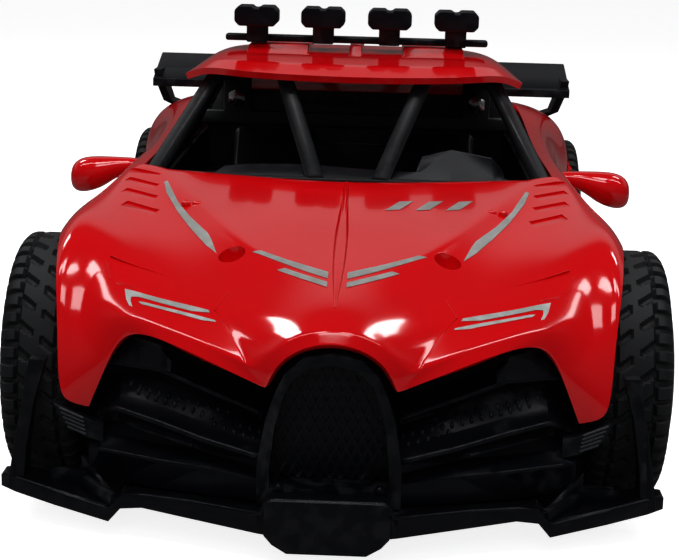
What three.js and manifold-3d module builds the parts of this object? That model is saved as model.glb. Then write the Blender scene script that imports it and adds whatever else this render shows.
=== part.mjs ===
// A pull back car of the 1:18 class: a red moulded body over a black chassis, with a spring motor
// on the rear axle. Millimetres, +Z up, nose towards -Y, origin on the ground under the middle.
import * as THREE from "three";
import { mergeVertices } from "three/addons/utils/BufferGeometryUtils.js";
import Module from "manifold-3d";

const wasm = await Module();
wasm.setup();

// Driving sizes of the whole car
const wheelbase = 140;
const frontAxleY = -76;
const tyreRadius = 21.5;
const tyreWidth = 13;
const shellHalfWidth = 50;
const shellHeight = 50;
const shellWall = 1.4;
const fitGap = 0.3;
const overrun = 2;

const rearAxleY = frontAxleY + wheelbase;
const axleZ = tyreRadius;
const halfTrackShare = 0.99;
const halfTrack = halfTrackShare * shellHalfWidth;
// The nose ahead of the front axle is sized from the tyre that it has to clear
const noseSpanShare = 6.512;
const noseSpan = noseSpanShare * tyreRadius;

// Places on the car, from shares: across of the half width, along from the front axle (of the
// wheelbase towards the rear, of the nose span ahead of the axle), up of the shell height
const acrossAt = (share) => share * shellHalfWidth;
const alongAt = (share) => frontAxleY + share * (share < 0 ? noseSpan : wheelbase);
const upAt = (share) => share * shellHeight;
const placeAt = ([across, along, up]) => [acrossAt(across), alongAt(along), upAt(up)];

// Finishes
const finish = (color, roughness, metalness = 0) =>
  new THREE.MeshStandardMaterial({ color, roughness, metalness });
const redGloss = finish(0xc8141a, 0.18);
const blackSatin = finish(0x17191d, 0.45);
const greySatin = finish(0x2c2f33, 0.5);
const rubber = finish(0x15171a, 0.75);
const steel = finish(0xb9bcc0, 0.3, 1);
const rimGrey = finish(0x55585d, 0.35, 0.4);
const gearWhite = finish(0xe6e2d6, 0.5);
const springSteel = finish(0x8d9298, 0.35, 1);

// Solids: a geometry becomes a closed body, bodies are joined and cut, and a body becomes a mesh
function solid(geometry) {
  const bare = geometry.clone();
  for (const name of Object.keys(bare.attributes)) {
    if (name !== "position") bare.deleteAttribute(name);
  }
  const merged = mergeVertices(bare);
  const corners = merged.index.array;
  const kept = [];
  for (let i = 0; i < corners.length; i += 3) {
    const [a, b, c] = corners.slice(i, i + 3);
    if (a !== b && b !== c && c !== a) kept.push(a, b, c);
  }
  const body = (triangles) =>
    new wasm.Manifold(
      new wasm.Mesh({
        numProp: 3,
        vertProperties: merged.attributes.position.array,
        triVerts: new Uint32Array(triangles),
      }),
    );
  const made = body(kept);
  return made.volume() > 0 ? made : body(kept.reverse());
}

const joined = (first, ...rest) => rest.reduce((sum, next) => sum.add(next), first);
const cut = (first, ...tools) => tools.reduce((left, tool) => left.subtract(tool), first);

function piece(name, body, material) {
  const { vertProperties, numProp, triVerts } = body.getMesh();
  const places = new Float32Array(triVerts.length * 3);
  triVerts.forEach((corner, i) => {
    for (let axis = 0; axis < 3; axis += 1) {
      places[i * 3 + axis] = vertProperties[corner * numProp + axis];
    }
  });
  const geometry = new THREE.BufferGeometry();
  geometry.setAttribute("position", new THREE.BufferAttribute(places, 3));
  geometry.computeVertexNormals();
  const mesh = new THREE.Mesh(geometry, material);
  mesh.name = name;
  return mesh;
}

// Simple shapes
const vector = ([x, y, z]) => new THREE.Vector3(x, y, z);
const halfTurn = Math.PI;
const quarterTurn = Math.PI / 2;
const sideNames = new Map([
  [-1, "left"],
  [1, "right"],
]);

function block([x0, x1], [y0, y1], [z0, z1]) {
  const shape = new THREE.BoxGeometry(x1 - x0, y1 - y0, z1 - z0);
  return solid(shape.translate((x0 + x1) / 2, (y0 + y1) / 2, (z0 + z1) / 2));
}

function outlineShape(outline) {
  return new THREE.Shape(outline.map(([a, b]) => new THREE.Vector2(a, b)));
}

function extruded(outline, from, to, first, second, along) {
  const shape = outline instanceof THREE.Shape ? outline : outlineShape(outline);
  const geometry = new THREE.ExtrudeGeometry(shape, {
    depth: to - from,
    bevelEnabled: false,
    curveSegments: 6,
  });
  geometry.translate(0, 0, from);
  return solid(geometry.applyMatrix4(new THREE.Matrix4().makeBasis(first, second, along)));
}

const axisX = new THREE.Vector3(1, 0, 0);
const axisY = new THREE.Vector3(0, 1, 0);
const axisZ = new THREE.Vector3(0, 0, 1);
// Outlines drawn in side view (y, z), in plan (x, y) and in front view (x, z)
const sideOutline = (outline, [x0, x1]) => extruded(outline, x0, x1, axisY, axisZ, axisX);
const planOutline = (outline, [z0, z1]) => extruded(outline, z0, z1, axisX, axisY, axisZ);
const frontOutline = (outline, [y0, y1]) =>
  extruded(outline, -y1, -y0, axisX, axisZ, axisY.clone().negate());

function beam(from, to, width, height) {
  const start = vector(from);
  const run = vector(to).sub(start);
  const along = run.clone().normalize();
  const across = new THREE.Vector3().crossVectors(along, axisZ).normalize();
  const up = new THREE.Vector3().crossVectors(across, along);
  const shape = new THREE.BoxGeometry(width, run.length(), height);
  shape.applyMatrix4(new THREE.Matrix4().makeBasis(across, along, up));
  const middle = start.addScaledVector(run, 1 / 2);
  return solid(shape.translate(middle.x, middle.y, middle.z));
}

// A turned piece: points are [radius, place along the axis]
function turned(profile, sides) {
  const points = profile.map(([radius, along]) => new THREE.Vector2(radius, along));
  return new THREE.LatheGeometry(points, sides);
}
const turnedAlongX = (profile, sides) => turned(profile, sides).rotateZ(-quarterTurn);
const turnedAlongZ = (profile, sides) => turned(profile, sides).rotateX(quarterTurn);

function rodProfile(radius, from, to) {
  return [
    [0, from],
    [radius, from],
    [radius, to],
    [0, to],
  ];
}
const rodAlongX = (radius, [from, to], sides) =>
  turnedAlongX(rodProfile(radius, from, to), sides);
const rodAlongZ = (radius, [from, to], sides) =>
  turnedAlongZ(rodProfile(radius, from, to), sides);

// A body through cross sections that all have the same number of points
function flatOn(section) {
  const facing = new THREE.Vector3();
  section.forEach((point, i) => {
    const next = section[(i + 1) % section.length];
    facing.add(new THREE.Vector3().crossVectors(vector(point), vector(next)));
  });
  const sizes = facing.toArray().map(Math.abs);
  const dropped = sizes.indexOf(Math.max(...sizes));
  return section.map((point) => new THREE.Vector2(...point.filter((_, axis) => axis !== dropped)));
}

function capOf(section) {
  const flat = flatOn(section);
  const turnsLeft = THREE.ShapeUtils.area(flat) > 0;
  return THREE.ShapeUtils.triangulateShape(flat, []).map((triangle) => {
    const sameTurn = THREE.ShapeUtils.area(triangle.map((i) => flat[i])) > 0 === turnsLeft;
    const corners = triangle.map((i) => section[i]);
    return sameTurn ? corners : corners.reverse();
  });
}

function lofted(sections) {
  const count = sections[0].length;
  const places = [];
  const put = (corners) => corners.forEach((corner) => places.push(...corner));
  for (let s = 0; s + 1 < sections.length; s += 1) {
    for (let i = 0; i < count; i += 1) {
      const j = (i + 1) % count;
      put([sections[s][i], sections[s][j], sections[s + 1][j]]);
      put([sections[s][i], sections[s + 1][j], sections[s + 1][i]]);
    }
  }
  capOf(sections[0]).forEach((corners) => put(corners.reverse()));
  capOf(sections.at(-1)).forEach(put);
  const geometry = new THREE.BufferGeometry();
  geometry.setAttribute("position", new THREE.Float32BufferAttribute(places, 3));
  return solid(geometry);
}

// Smooth skins: a cage of four-sided faces is rounded once and given a wall. A point on a firm
// edge keeps most of its place and takes the rest from its two neighbours on that edge.
const firmKeepShare = 0.75;
const firmNeighbourShare = 0.125;

function edgeKey(a, b) {
  return a < b ? `${a},${b}` : `${b},${a}`;
}

function edgesOf({ faces, sharp }) {
  const edges = new Map();
  for (const [f, face] of faces.entries()) {
    for (const [i, a] of face.entries()) {
      const b = face[(i + 1) % face.length];
      const key = edgeKey(a, b);
      if (!edges.has(key)) edges.set(key, { ends: [a, b], faces: [], firm: sharp.has(key) });
      edges.get(key).faces.push(f);
    }
  }
  for (const edge of edges.values()) {
    edge.open = edge.faces.length === 1;
    edge.firm = edge.firm || edge.open;
  }
  return edges;
}

const middleOf = (vectors) =>
  vectors
    .reduce((sum, next) => sum.add(next), new THREE.Vector3())
    .divideScalar(vectors.length);

function rounded(cage) {
  const { points, faces } = cage;
  const edges = edgesOf(cage);
  const faceMiddles = faces.map((face) => middleOf(face.map((corner) => points[corner])));
  const around = points.map(() => ({ faces: new Set(), edges: [] }));
  for (const edge of edges.values()) {
    edge.middle = middleOf(edge.ends.map((end) => points[end]));
    for (const end of edge.ends) {
      around[end].edges.push(edge);
      edge.faces.forEach((face) => around[end].faces.add(face));
    }
  }
  const moved = points.map((point, at) => {
    const firm = around[at].edges.filter((edge) => edge.firm);
    if (firm.length > 2 || around[at].faces.size === 1) return point.clone();
    if (firm.length === 2) {
      const ends = firm.map((edge) => points[edge.ends.find((end) => end !== at)]);
      return point
        .clone()
        .multiplyScalar(firmKeepShare)
        .addScaledVector(ends[0], firmNeighbourShare)
        .addScaledVector(ends[1], firmNeighbourShare);
    }
    const count = around[at].edges.length;
    const nearFaces = middleOf([...around[at].faces].map((face) => faceMiddles[face]));
    const nearEdges = middleOf(around[at].edges.map((edge) => edge.middle));
    return point
      .clone()
      .multiplyScalar(count - 3)
      .add(nearFaces)
      .addScaledVector(nearEdges, 2)
      .divideScalar(count);
  });
  const sharp = new Set();
  for (const edge of edges.values()) {
    edge.at = moved.length;
    moved.push(
      edge.firm
        ? edge.middle
        : middleOf([...edge.ends.map((end) => points[end]), ...edge.faces.map((f) => faceMiddles[f])]),
    );
    if (edge.firm) edge.ends.forEach((end) => sharp.add(edgeKey(end, edge.at)));
  }
  const smallFaces = [];
  for (const [f, face] of faces.entries()) {
    const middle = moved.length;
    moved.push(faceMiddles[f]);
    for (const [i, corner] of face.entries()) {
      const next = face[(i + 1) % face.length];
      const last = face[(i + face.length - 1) % face.length];
      const ahead = edges.get(edgeKey(corner, next)).at;
      const behind = edges.get(edgeKey(last, corner)).at;
      smallFaces.push([corner, ahead, middle, behind]);
    }
  }
  return { points: moved, faces: smallFaces, sharp };
}

function walled(cage, wall) {
  const { points, faces } = cage;
  const normals = points.map(() => new THREE.Vector3());
  for (const [a, b, c, d] of faces) {
    const first = points[c].clone().sub(points[a]);
    const second = points[d].clone().sub(points[b]);
    const facing = first.cross(second);
    [a, b, c, d].forEach((corner) => normals[corner].add(facing));
  }
  const inside = points.map((point, i) => point.clone().addScaledVector(normals[i].normalize(), -wall));
  const places = [];
  const put = (...corners) => corners.forEach((corner) => places.push(...corner.toArray()));
  const quad = (a, b, c, d) => put(a, b, c, a, c, d);
  for (const [a, b, c, d] of faces) {
    quad(points[a], points[b], points[c], points[d]);
    quad(inside[d], inside[c], inside[b], inside[a]);
  }
  for (const edge of edgesOf(cage).values()) {
    if (!edge.open) continue;
    const [a, b] = edge.ends;
    quad(points[b], points[a], inside[a], inside[b]);
  }
  const geometry = new THREE.BufferGeometry();
  geometry.setAttribute("position", new THREE.Float32BufferAttribute(places, 3));
  return solid(geometry);
}

// A cage from stations along a piece. Each station lists its points from the middle line
// outwards; a station that starts further out leaves an opening. The other half is mirrored.
function mirroredCage(stations, creases) {
  const points = [];
  const at = new Map();
  stations.forEach(({ first, places }, s) => {
    places.forEach(([x, y, z], i) => {
      const row = first + i;
      at.set(`${s},${row}`, points.push(new THREE.Vector3(x, y, z)) - 1);
      if (row > 0) at.set(`${s},${-row}`, points.push(new THREE.Vector3(-x, y, z)) - 1);
    });
  });
  const lastRow = Math.max(...stations.map(({ first, places }) => first + places.length - 1));
  const faces = [];
  for (let s = 0; s + 1 < stations.length; s += 1) {
    for (let row = -lastRow; row < lastRow; row += 1) {
      const corners = [
        [s, row],
        [s, row + 1],
        [s + 1, row + 1],
        [s + 1, row],
      ].map((key) => at.get(key.join()));
      if (corners.every((corner) => corner !== undefined)) faces.push(corners);
    }
  }
  const sharp = new Set();
  for (const { from, to } of creases) {
    const steps = Math.max(Math.abs(to[0] - from[0]), Math.abs(to[1] - from[1]));
    for (let step = 0; step < steps; step += 1) {
      const [a, b] = [step, step + 1].map((n) => [
        from[0] + Math.sign(to[0] - from[0]) * n,
        from[1] + Math.sign(to[1] - from[1]) * n,
      ]);
      for (const side of [1, -1]) {
        sharp.add(edgeKey(at.get(`${a[0]},${a[1] * side}`), at.get(`${b[0]},${b[1] * side}`)));
      }
    }
  }
  return { points, faces, sharp };
}

// Body shell. Each point is three shares: across, along and up. Rows run from the middle line
// out over the wing to the lower edge.
const archGap = 2.7;
const archDrop = 0.5;
const archRadius = tyreRadius + archGap;
const archZ = axleZ - archDrop;
// The lower edge on a wheel arch: across, and the share of a half turn from the front of the arch
const archPoint = (axleY) => ([across, turn]) => [
  acrossAt(across),
  axleY - archRadius * Math.cos(halfTurn * turn),
  archZ + archRadius * Math.sin(halfTurn * turn),
];
const onFrontArch = archPoint(frontAxleY);
const onRearArch = archPoint(rearAxleY);

const noseShares = [
  // edge of the grille arch and of the air intake, down to the fang
  [[0, -0.264, 0.7], [0.1, -0.264, 0.68], [0.175, -0.26, 0.62], [0.205, -0.257, 0.54],
    [0.35, -0.239, 0.588], [0.5, -0.214, 0.636], [0.685, -0.164, 0.66], [0.745, -0.164, 0.53],
    [0.806, -0.164, 0.378]],
  // brow above the intake
  [[0, -0.254, 0.736], [0.12, -0.254, 0.712], [0.2, -0.251, 0.652], [0.245, -0.25, 0.604],
    [0.375, -0.225, 0.64], [0.52, -0.196, 0.676], [0.77, -0.143, 0.706], [0.79, -0.164, 0.55],
    [0.866, -0.17, 0.395]],
  // lower headlight
  [[0, -0.214, 0.776], [0.1, -0.214, 0.76], [0.24, -0.211, 0.704], [0.385, -0.175, 0.73],
    [0.49, -0.171, 0.72], [0.62, -0.146, 0.732], [0.81, -0.107, 0.764], [0.87, -0.161, 0.59]],
  // upper headlight
  [[0, -0.15, 0.808], [0.12, -0.15, 0.798], [0.25, -0.146, 0.772], [0.365, -0.129, 0.764],
    [0.51, -0.111, 0.778], [0.66, -0.086, 0.792], [0.85, -0.064, 0.856], [0.915, -0.135, 0.74]],
  // front of the bonnet panel, at the screw holes
  [[0, -0.105, 0.83], [0.16, -0.091, 0.834], [0.29, -0.061, 0.856], [0.4, -0.057, 0.83],
    [0.55, -0.046, 0.824], [0.72, -0.032, 0.848], [0.886, -0.029, 0.924], [0.945, -0.075, 0.87]],
  // over the front axle
  [[0, -0.014, 0.872], [0.18, -0.014, 0.872], [0.386, -0.007, 0.892], [0.49, 0.007, 0.864],
    [0.63, 0.014, 0.864], [0.78, 0.025, 0.9], [0.906, 0.021, 0.944], [0.955, 0.005, 0.922]],
  [[0, 0.057, 0.908], [0.2, 0.057, 0.91], [0.486, 0.068, 0.924], [0.58, 0.086, 0.906],
    [0.69, 0.093, 0.916], [0.8, 0.096, 0.94], [0.912, 0.104, 0.956], [0.972, 0.089, 0.912]],
  [[0, 0.136, 0.94], [0.22, 0.136, 0.942], [0.59, 0.143, 0.958], [0.666, 0.154, 0.952],
    [0.746, 0.161, 0.962], [0.82, 0.164, 0.972], [0.9, 0.168, 0.97], [0.986, 0.164, 0.85]],
  // rear edge of the bonnet
  [[0, 0.221, 0.972], [0.24, 0.221, 0.978], [0.69, 0.236, 0.996], [0.744, 0.239, 1.006],
    [0.79, 0.243, 1.01], [0.83, 0.239, 1.008], [0.876, 0.232, 0.992], [0.98, 0.221, 0.8]],
];
const frontArchShares = [
  [0.904, 0.006], [0.91, 0.14], [0.946, 0.29], [0.975, 0.46], [0.995, 0.64], [1.006, 0.81],
  [0.996, 0.96],
];
// From the window sill (row 4) down to the lower edge (row 8)
const doorShares = [
  [[0.79, 0.314, 1.008], [0.83, 0.314, 1.012], [0.87, 0.314, 0.992], [0.952, 0.3, 0.76],
    [0.976, 0.186, 0.27]],
  [[0.786, 0.457, 1.004], [0.824, 0.457, 1.008], [0.876, 0.457, 0.98], [0.916, 0.443, 0.72],
    [0.96, 0.357, 0.26]],
  [[0.79, 0.6, 1.008], [0.832, 0.6, 1.014], [0.89, 0.6, 0.98], [0.912, 0.6, 0.72],
    [0.96, 0.557, 0.26]],
  [[0.796, 0.743, 1.02], [0.844, 0.743, 1.026], [0.93, 0.743, 0.976], [0.976, 0.729, 0.74],
    [0.976, 0.714, 0.26]],
  [[0.8, 0.857, 1.032], [0.86, 0.857, 1.038], [0.97, 0.85, 0.98], [1.056, 0.829, 0.8],
    [1, 0.814, 0.264]],
];
const haunchShares = [
  [[0.8, 0.936, 1.036], [0.876, 0.929, 1.04], [1, 0.914, 0.99], [1.076, 0.886, 0.83]],
];
const tailShares = [
  // front edge of the rear deck
  [[0, 0.986, 1.04], [0.24, 0.986, 1.04], [0.54, 0.982, 1.04], [0.7, 0.979, 1.044],
    [0.8, 0.979, 1.04], [0.89, 0.986, 1.032], [0.99, 0.986, 0.984], [1.05, 0.957, 0.91]],
  [[0, 1.086, 1.02], [0.24, 1.086, 1.02], [0.54, 1.086, 1.024], [0.7, 1.086, 1.028],
    [0.8, 1.086, 1.026], [0.886, 1.086, 1.012], [0.976, 1.086, 0.972], [1.024, 1.057, 0.936]],
  [[0, 1.186, 0.99], [0.24, 1.186, 0.99], [0.54, 1.186, 0.996], [0.7, 1.186, 1],
    [0.8, 1.186, 0.996], [0.88, 1.186, 0.98], [0.956, 1.179, 0.936], [1.012, 1.143, 0.86]],
  [[0, 1.279, 0.972], [0.24, 1.279, 0.972], [0.54, 1.275, 0.978], [0.7, 1.271, 0.98],
    [0.79, 1.264, 0.976], [0.86, 1.257, 0.96], [0.926, 1.246, 0.91], [0.992, 1.207, 0.74]],
  // tail lip
  [[0, 1.343, 0.95], [0.24, 1.343, 0.95], [0.54, 1.336, 0.952], [0.68, 1.325, 0.948],
    [0.76, 1.314, 0.94], [0.83, 1.3, 0.92], [0.89, 1.282, 0.87], [0.96, 1.243, 0.65]],
  // rear face
  [[0, 1.34, 0.79], [0.24, 1.34, 0.79], [0.52, 1.332, 0.79], [0.66, 1.322, 0.79],
    [0.75, 1.311, 0.782], [0.82, 1.297, 0.762], [0.886, 1.28, 0.71], [0.952, 1.244, 0.52]],
  [[0, 1.336, 0.6], [0.24, 1.336, 0.6], [0.52, 1.328, 0.6], [0.66, 1.318, 0.6],
    [0.75, 1.307, 0.6], [0.82, 1.293, 0.59], [0.88, 1.275, 0.55], [0.944, 1.239, 0.42],
    [0.99, 1.193, 0.32]],
];
const rearArchShares = [
  [1.03, 0.04], [1.06, 0.3], [1.04, 0.5], [1.045, 0.7], [1.03, 0.86], [1.01, 0.97], [1, 1.07],
];
const sillRow = 4;

function shellStations() {
  const plain = (rows) => rows.map(placeAt);
  const nose = noseShares.map(plain);
  const door = doorShares.map(plain);
  const haunch = haunchShares.map(plain);
  const tail = tailShares.map(plain);
  const frontEdges = frontArchShares.map(onFrontArch);
  const rearEdges = rearArchShares.map(onRearArch);
  nose.filter((rows) => rows.length === sillRow * 2).forEach((rows, i) => rows.push(frontEdges[i]));
  const rearRows = [...haunch, ...tail.slice(0, -1)];
  rearRows.forEach((rows, i) => rows.push(rearEdges[i]));
  return [
    ...nose.map((places) => ({ first: 0, places })),
    ...door.map((places) => ({ first: sillRow, places })),
    ...haunch.map((places) => ({ first: sillRow, places })),
    ...tail.map((places) => ({ first: 0, places })),
  ];
}

const noseEnd = noseShares.length - 1;
const tailStart = noseShares.length + doorShares.length + haunchShares.length;
const tailEnd = tailStart + tailShares.length - 1;
const wingRow = sillRow + 2;
const shellCreases = [
  { from: [0, 3], to: [3, 3] },
  { from: [1, 0], to: [1, wingRow] },
  { from: [4, 0], to: [4, 2] },
  { from: [4, 2], to: [noseEnd, 2] },
  { from: [noseEnd, sillRow], to: [noseEnd, sillRow + 1] },
  { from: [tailStart, sillRow], to: [tailStart, sillRow + 1] },
  { from: [tailEnd - 2, 0], to: [tailEnd - 2, wingRow] },
];

// Screws: head and shank, head up along +Z, its underside at the origin
const screwHeadRadius = 2.2;
const screwHeadHeight = 1.4;
const screwRadius = 1.1;
const screwLength = { bonnet: 17, deck: 12, tray: 8, motor: 4.4, cabin: 5 };
const screwHole = screwRadius + fitGap;
const screwSides = 6;

function screw(name, length) {
  const profile = [
    [0, -length],
    [screwRadius, -length],
    [screwRadius, 0],
    [screwHeadRadius, 0],
    [screwHeadRadius, screwHeadHeight / 2],
    [screwHeadRadius / 2, screwHeadHeight],
    [0, screwHeadHeight],
  ];
  return piece(name, solid(turnedAlongZ(profile, screwSides)), steel);
}

// Bosses of the shell: the front pair is screwed from above, the rear pair from below
const bossRadius = 3.6;
const bossSides = 10;
const recessDepth = 4.6;
const deckScrewDepth = 7;
const bonnetBossShares = [0.368, -0.055, 0.822];
const bonnetBossFootShare = 0.48;
const deckBossShares = [0.52, 1.2, 0.972];
const deckBossFootShare = 0.42;
function bossAt(shares, footShare) {
  const [x, y, top] = placeAt(shares);
  return { x, y, top, floor: top - recessDepth, foot: upAt(footShare) };
}
const bonnetBoss = bossAt(bonnetBossShares, bonnetBossFootShare);
const deckBoss = bossAt(deckBossShares, deckBossFootShare);
const deckScrewZ = deckBoss.foot - deckScrewDepth;
const recessRadius = screwHeadRadius + fitGap;
const bonnetTilt = 0.3;

// A post whose top follows a slope that rises towards the rear
function slopedPost(radius, { x, y, top }, from, tilt) {
  const geometry = rodAlongZ(radius, [from, top], bossSides);
  const place = geometry.attributes.position;
  for (let i = 0; i < place.count; i += 1) {
    if (place.getZ(i) > (from + top) / 2) place.setZ(i, top + tilt * place.getY(i));
  }
  return solid(geometry.translate(x, y, 0));
}

function bodyShell(rootTools) {
  const skin = walled(rounded(mirroredCage(shellStations(), shellCreases)), shellWall);
  let body = skin;
  for (const side of [-1, 1]) {
    const front = { ...bonnetBoss, x: side * bonnetBoss.x };
    const rear = { ...deckBoss, x: side * deckBoss.x };
    const bore = (radius, from, to, { x, y }) =>
      solid(rodAlongZ(radius, [from, to], bossSides).translate(x, y, 0));
    body = joined(
      body,
      slopedPost(bossRadius, front, front.foot, bonnetTilt),
      slopedPost(bossRadius, rear, rear.foot, 0),
    );
    body = cut(
      body,
      bore(recessRadius, front.floor, front.top + bossRadius * overrun, front),
      bore(screwHole, front.foot - overrun, front.floor + overrun, front),
      bore(screwHole, rear.foot - overrun, deckScrewZ + screwLength.deck + overrun, rear),
    );
  }
  return piece("body_shell", cut(body, ...rootTools), redGloss);
}

// Roof panel over the cabin: a thin cap with two raised strakes and a middle spine
const roofCornerShares = [0.71, 0.425, 1.28];
const roofLengthShare = 0.3857;
const [roofHalfWidth, roofFrontY, roofLipZ] = placeAt(roofCornerShares);
const roofLength = roofLengthShare * wheelbase;
const roofRise = 5.5;
const roofWall = 1.4;
const roofShares = [
  [[0, 0, 0.24], [0.34, 0.01, 0.24], [0.68, 0.04, 0.2], [0.88, 0.075, 0.12], [1, 0.11, 0]],
  [[0, 0.11, 0.62], [0.34, 0.12, 0.62], [0.68, 0.14, 0.6], [0.87, 0.17, 0.46], [0.995, 0.23, 0.04]],
  [[0, 0.34, 0.92], [0.34, 0.34, 0.95], [0.68, 0.34, 0.96], [0.84, 0.35, 0.86], [0.98, 0.45, 0.09]],
  [[0, 0.57, 0.99], [0.34, 0.57, 1.01], [0.67, 0.57, 1], [0.83, 0.57, 0.88], [0.965, 0.6, 0.14]],
  [[0, 0.79, 0.92], [0.34, 0.79, 0.93], [0.65, 0.79, 0.9], [0.81, 0.79, 0.7], [0.94, 0.79, 0.1]],
  [[0, 1, 0.7], [0.34, 1, 0.69], [0.62, 0.99, 0.66], [0.77, 0.97, 0.45], [0.9, 0.95, 0]],
];
// Strakes: shares of the roof's half width and of its length
const strakeAcrossShares = [0.287, 0.665];
const strakeAlongShares = [0.287, 0.843];
const strake = { height: 0.9, endFall: 3 };
const spineHalfWidth = 1.5;
const strakeSink = 1;

const roofPoint = ([across, along, up]) => [
  across * roofHalfWidth,
  roofFrontY + along * roofLength,
  roofLipZ + up * roofRise,
];

function roofStrake([x0, x1]) {
  const [front, rear] = strakeAlongShares.map((share) => roofFrontY + share * roofLength);
  const crown = roofLipZ + roofRise + strake.height;
  const low = roofLipZ + roofRise - strakeSink;
  const side = [
    [front, low],
    [rear, low],
    [rear - strake.endFall, crown],
    [front + strake.endFall * 2, crown],
  ];
  return sideOutline(side, [x0, x1]);
}

function roofPanel() {
  const stations = roofShares.map((rows) => ({ first: 0, places: rows.map(roofPoint) }));
  const skin = walled(rounded(mirroredCage(stations, [{ from: [1, 0], to: [1, 3] }])), roofWall);
  const [inner, outer] = strakeAcrossShares.map((share) => share * roofHalfWidth);
  const strakes = [[inner, outer], [-outer, -inner], [-spineHalfWidth, spineHalfWidth]];
  return piece("roof_panel", joined(skin, ...strakes.map(roofStrake)), redGloss);
}

// Lamp bar across the roof, with four lamps on short necks in front of it
const lampBarAcrossShare = 0.817;
const lampBarAlongShare = 0.465;
const lampBarDepth = 2.8;
const lampBarHeight = 1.5;
const lampBarHalf = lampBarAcrossShare * roofHalfWidth;
const lampBarFront = roofFrontY + lampBarAlongShare * roofLength;
const lampBarZ = roofLipZ + roofRise + strake.height + fitGap;
const lampCount = 4;
const lampSpacing = (lampBarHalf * 2) / lampCount;
const lampHead = { width: 9.5, depth: 6.4, height: 4.4, chamfer: 1 };
const lampNeckHeight = 3.7;
const lampNeckWidth = 4.6;
const lampNeckDepth = 3.2;

function roofBar() {
  const bar = block(
    [-lampBarHalf, lampBarHalf],
    [lampBarFront, lampBarFront + lampBarDepth],
    [lampBarZ, lampBarZ + lampBarHeight],
  );
  return piece("roof_bar", bar, blackSatin);
}

function lamp(index) {
  const half = lampHead.width / 2;
  const low = lampBarZ + lampNeckHeight;
  const high = low + lampHead.height;
  const corner = lampHead.chamfer;
  const outline = [
    [-half + corner, low],
    [half - corner, low],
    [half, low + corner],
    [half, high - corner],
    [half - corner, high],
    [corner, high],
    [corner / 2, high - corner / 2],
    [-corner / 2, high - corner / 2],
    [-corner, high],
    [-half + corner, high],
    [-half, high - corner],
    [-half, low + corner],
  ];
  const back = lampBarFront - fitGap;
  const head = frontOutline(outline, [back - lampHead.depth, back]);
  const neck = block(
    [-lampNeckWidth / 2, lampNeckWidth / 2],
    [back - lampNeckDepth, back],
    [lampBarZ, low + corner],
  );
  const mesh = piece(`lamp_pod_${index + 1}`, joined(head, neck), blackSatin);
  mesh.position.x = (index - (lampCount - 1) / 2) * lampSpacing;
  return mesh;
}

// Cabin frame: rails round the window sill, pillars, windscreen bars, roof rails and rear slats
const frameBar = 2.6;
const railAcrossShare = 0.762;
const railAlongShares = [0.247, 0.957];
const roofRailAcrossShare = 0.624;
const roofRailAlongShares = [0.4786, 0.7714];
const pillarFootShares = [0.2614, 0.657, 0.943];
const middlePillarTopShare = 0.6286;
const barTopShares = [0.272, 0.4686, 1.236];
const barFootShares = [0.128, 0.2586, 0.968];
const bulkheadShares = [0.564, 0.7571, 1.112];
const railHeight = 2.8;
const railWidth = 1.7;
const railGap = 0.4;
const roofSeat = 2.5;
const trayRimShare = 0.94;
const trayRimZ = upAt(trayRimShare);
const sillRail = {
  x: acrossAt(railAcrossShare),
  y: railAlongShares.map(alongAt),
  z: [trayRimZ + railGap, trayRimZ + railGap + railHeight],
  width: railWidth,
};
const cowlRailHeight = 1.2;
const roofRail = {
  x: acrossAt(roofRailAcrossShare),
  y: roofRailAlongShares.map(alongAt),
  z: roofLipZ - roofSeat,
};
const windscreenBar = { top: placeAt(barTopShares), foot: placeAt(barFootShares) };
const slatCount = 3;
const slat = { depth: 7, thickness: 1.2 };
const bulkheadSize = { width: 6.4, depth: 6 };
const [bulkheadX, bulkheadY, bulkheadZ] = placeAt(bulkheadShares);
const bulkhead = { x: bulkheadX, y: bulkheadY, z: bulkheadZ, ...bulkheadSize };

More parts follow.
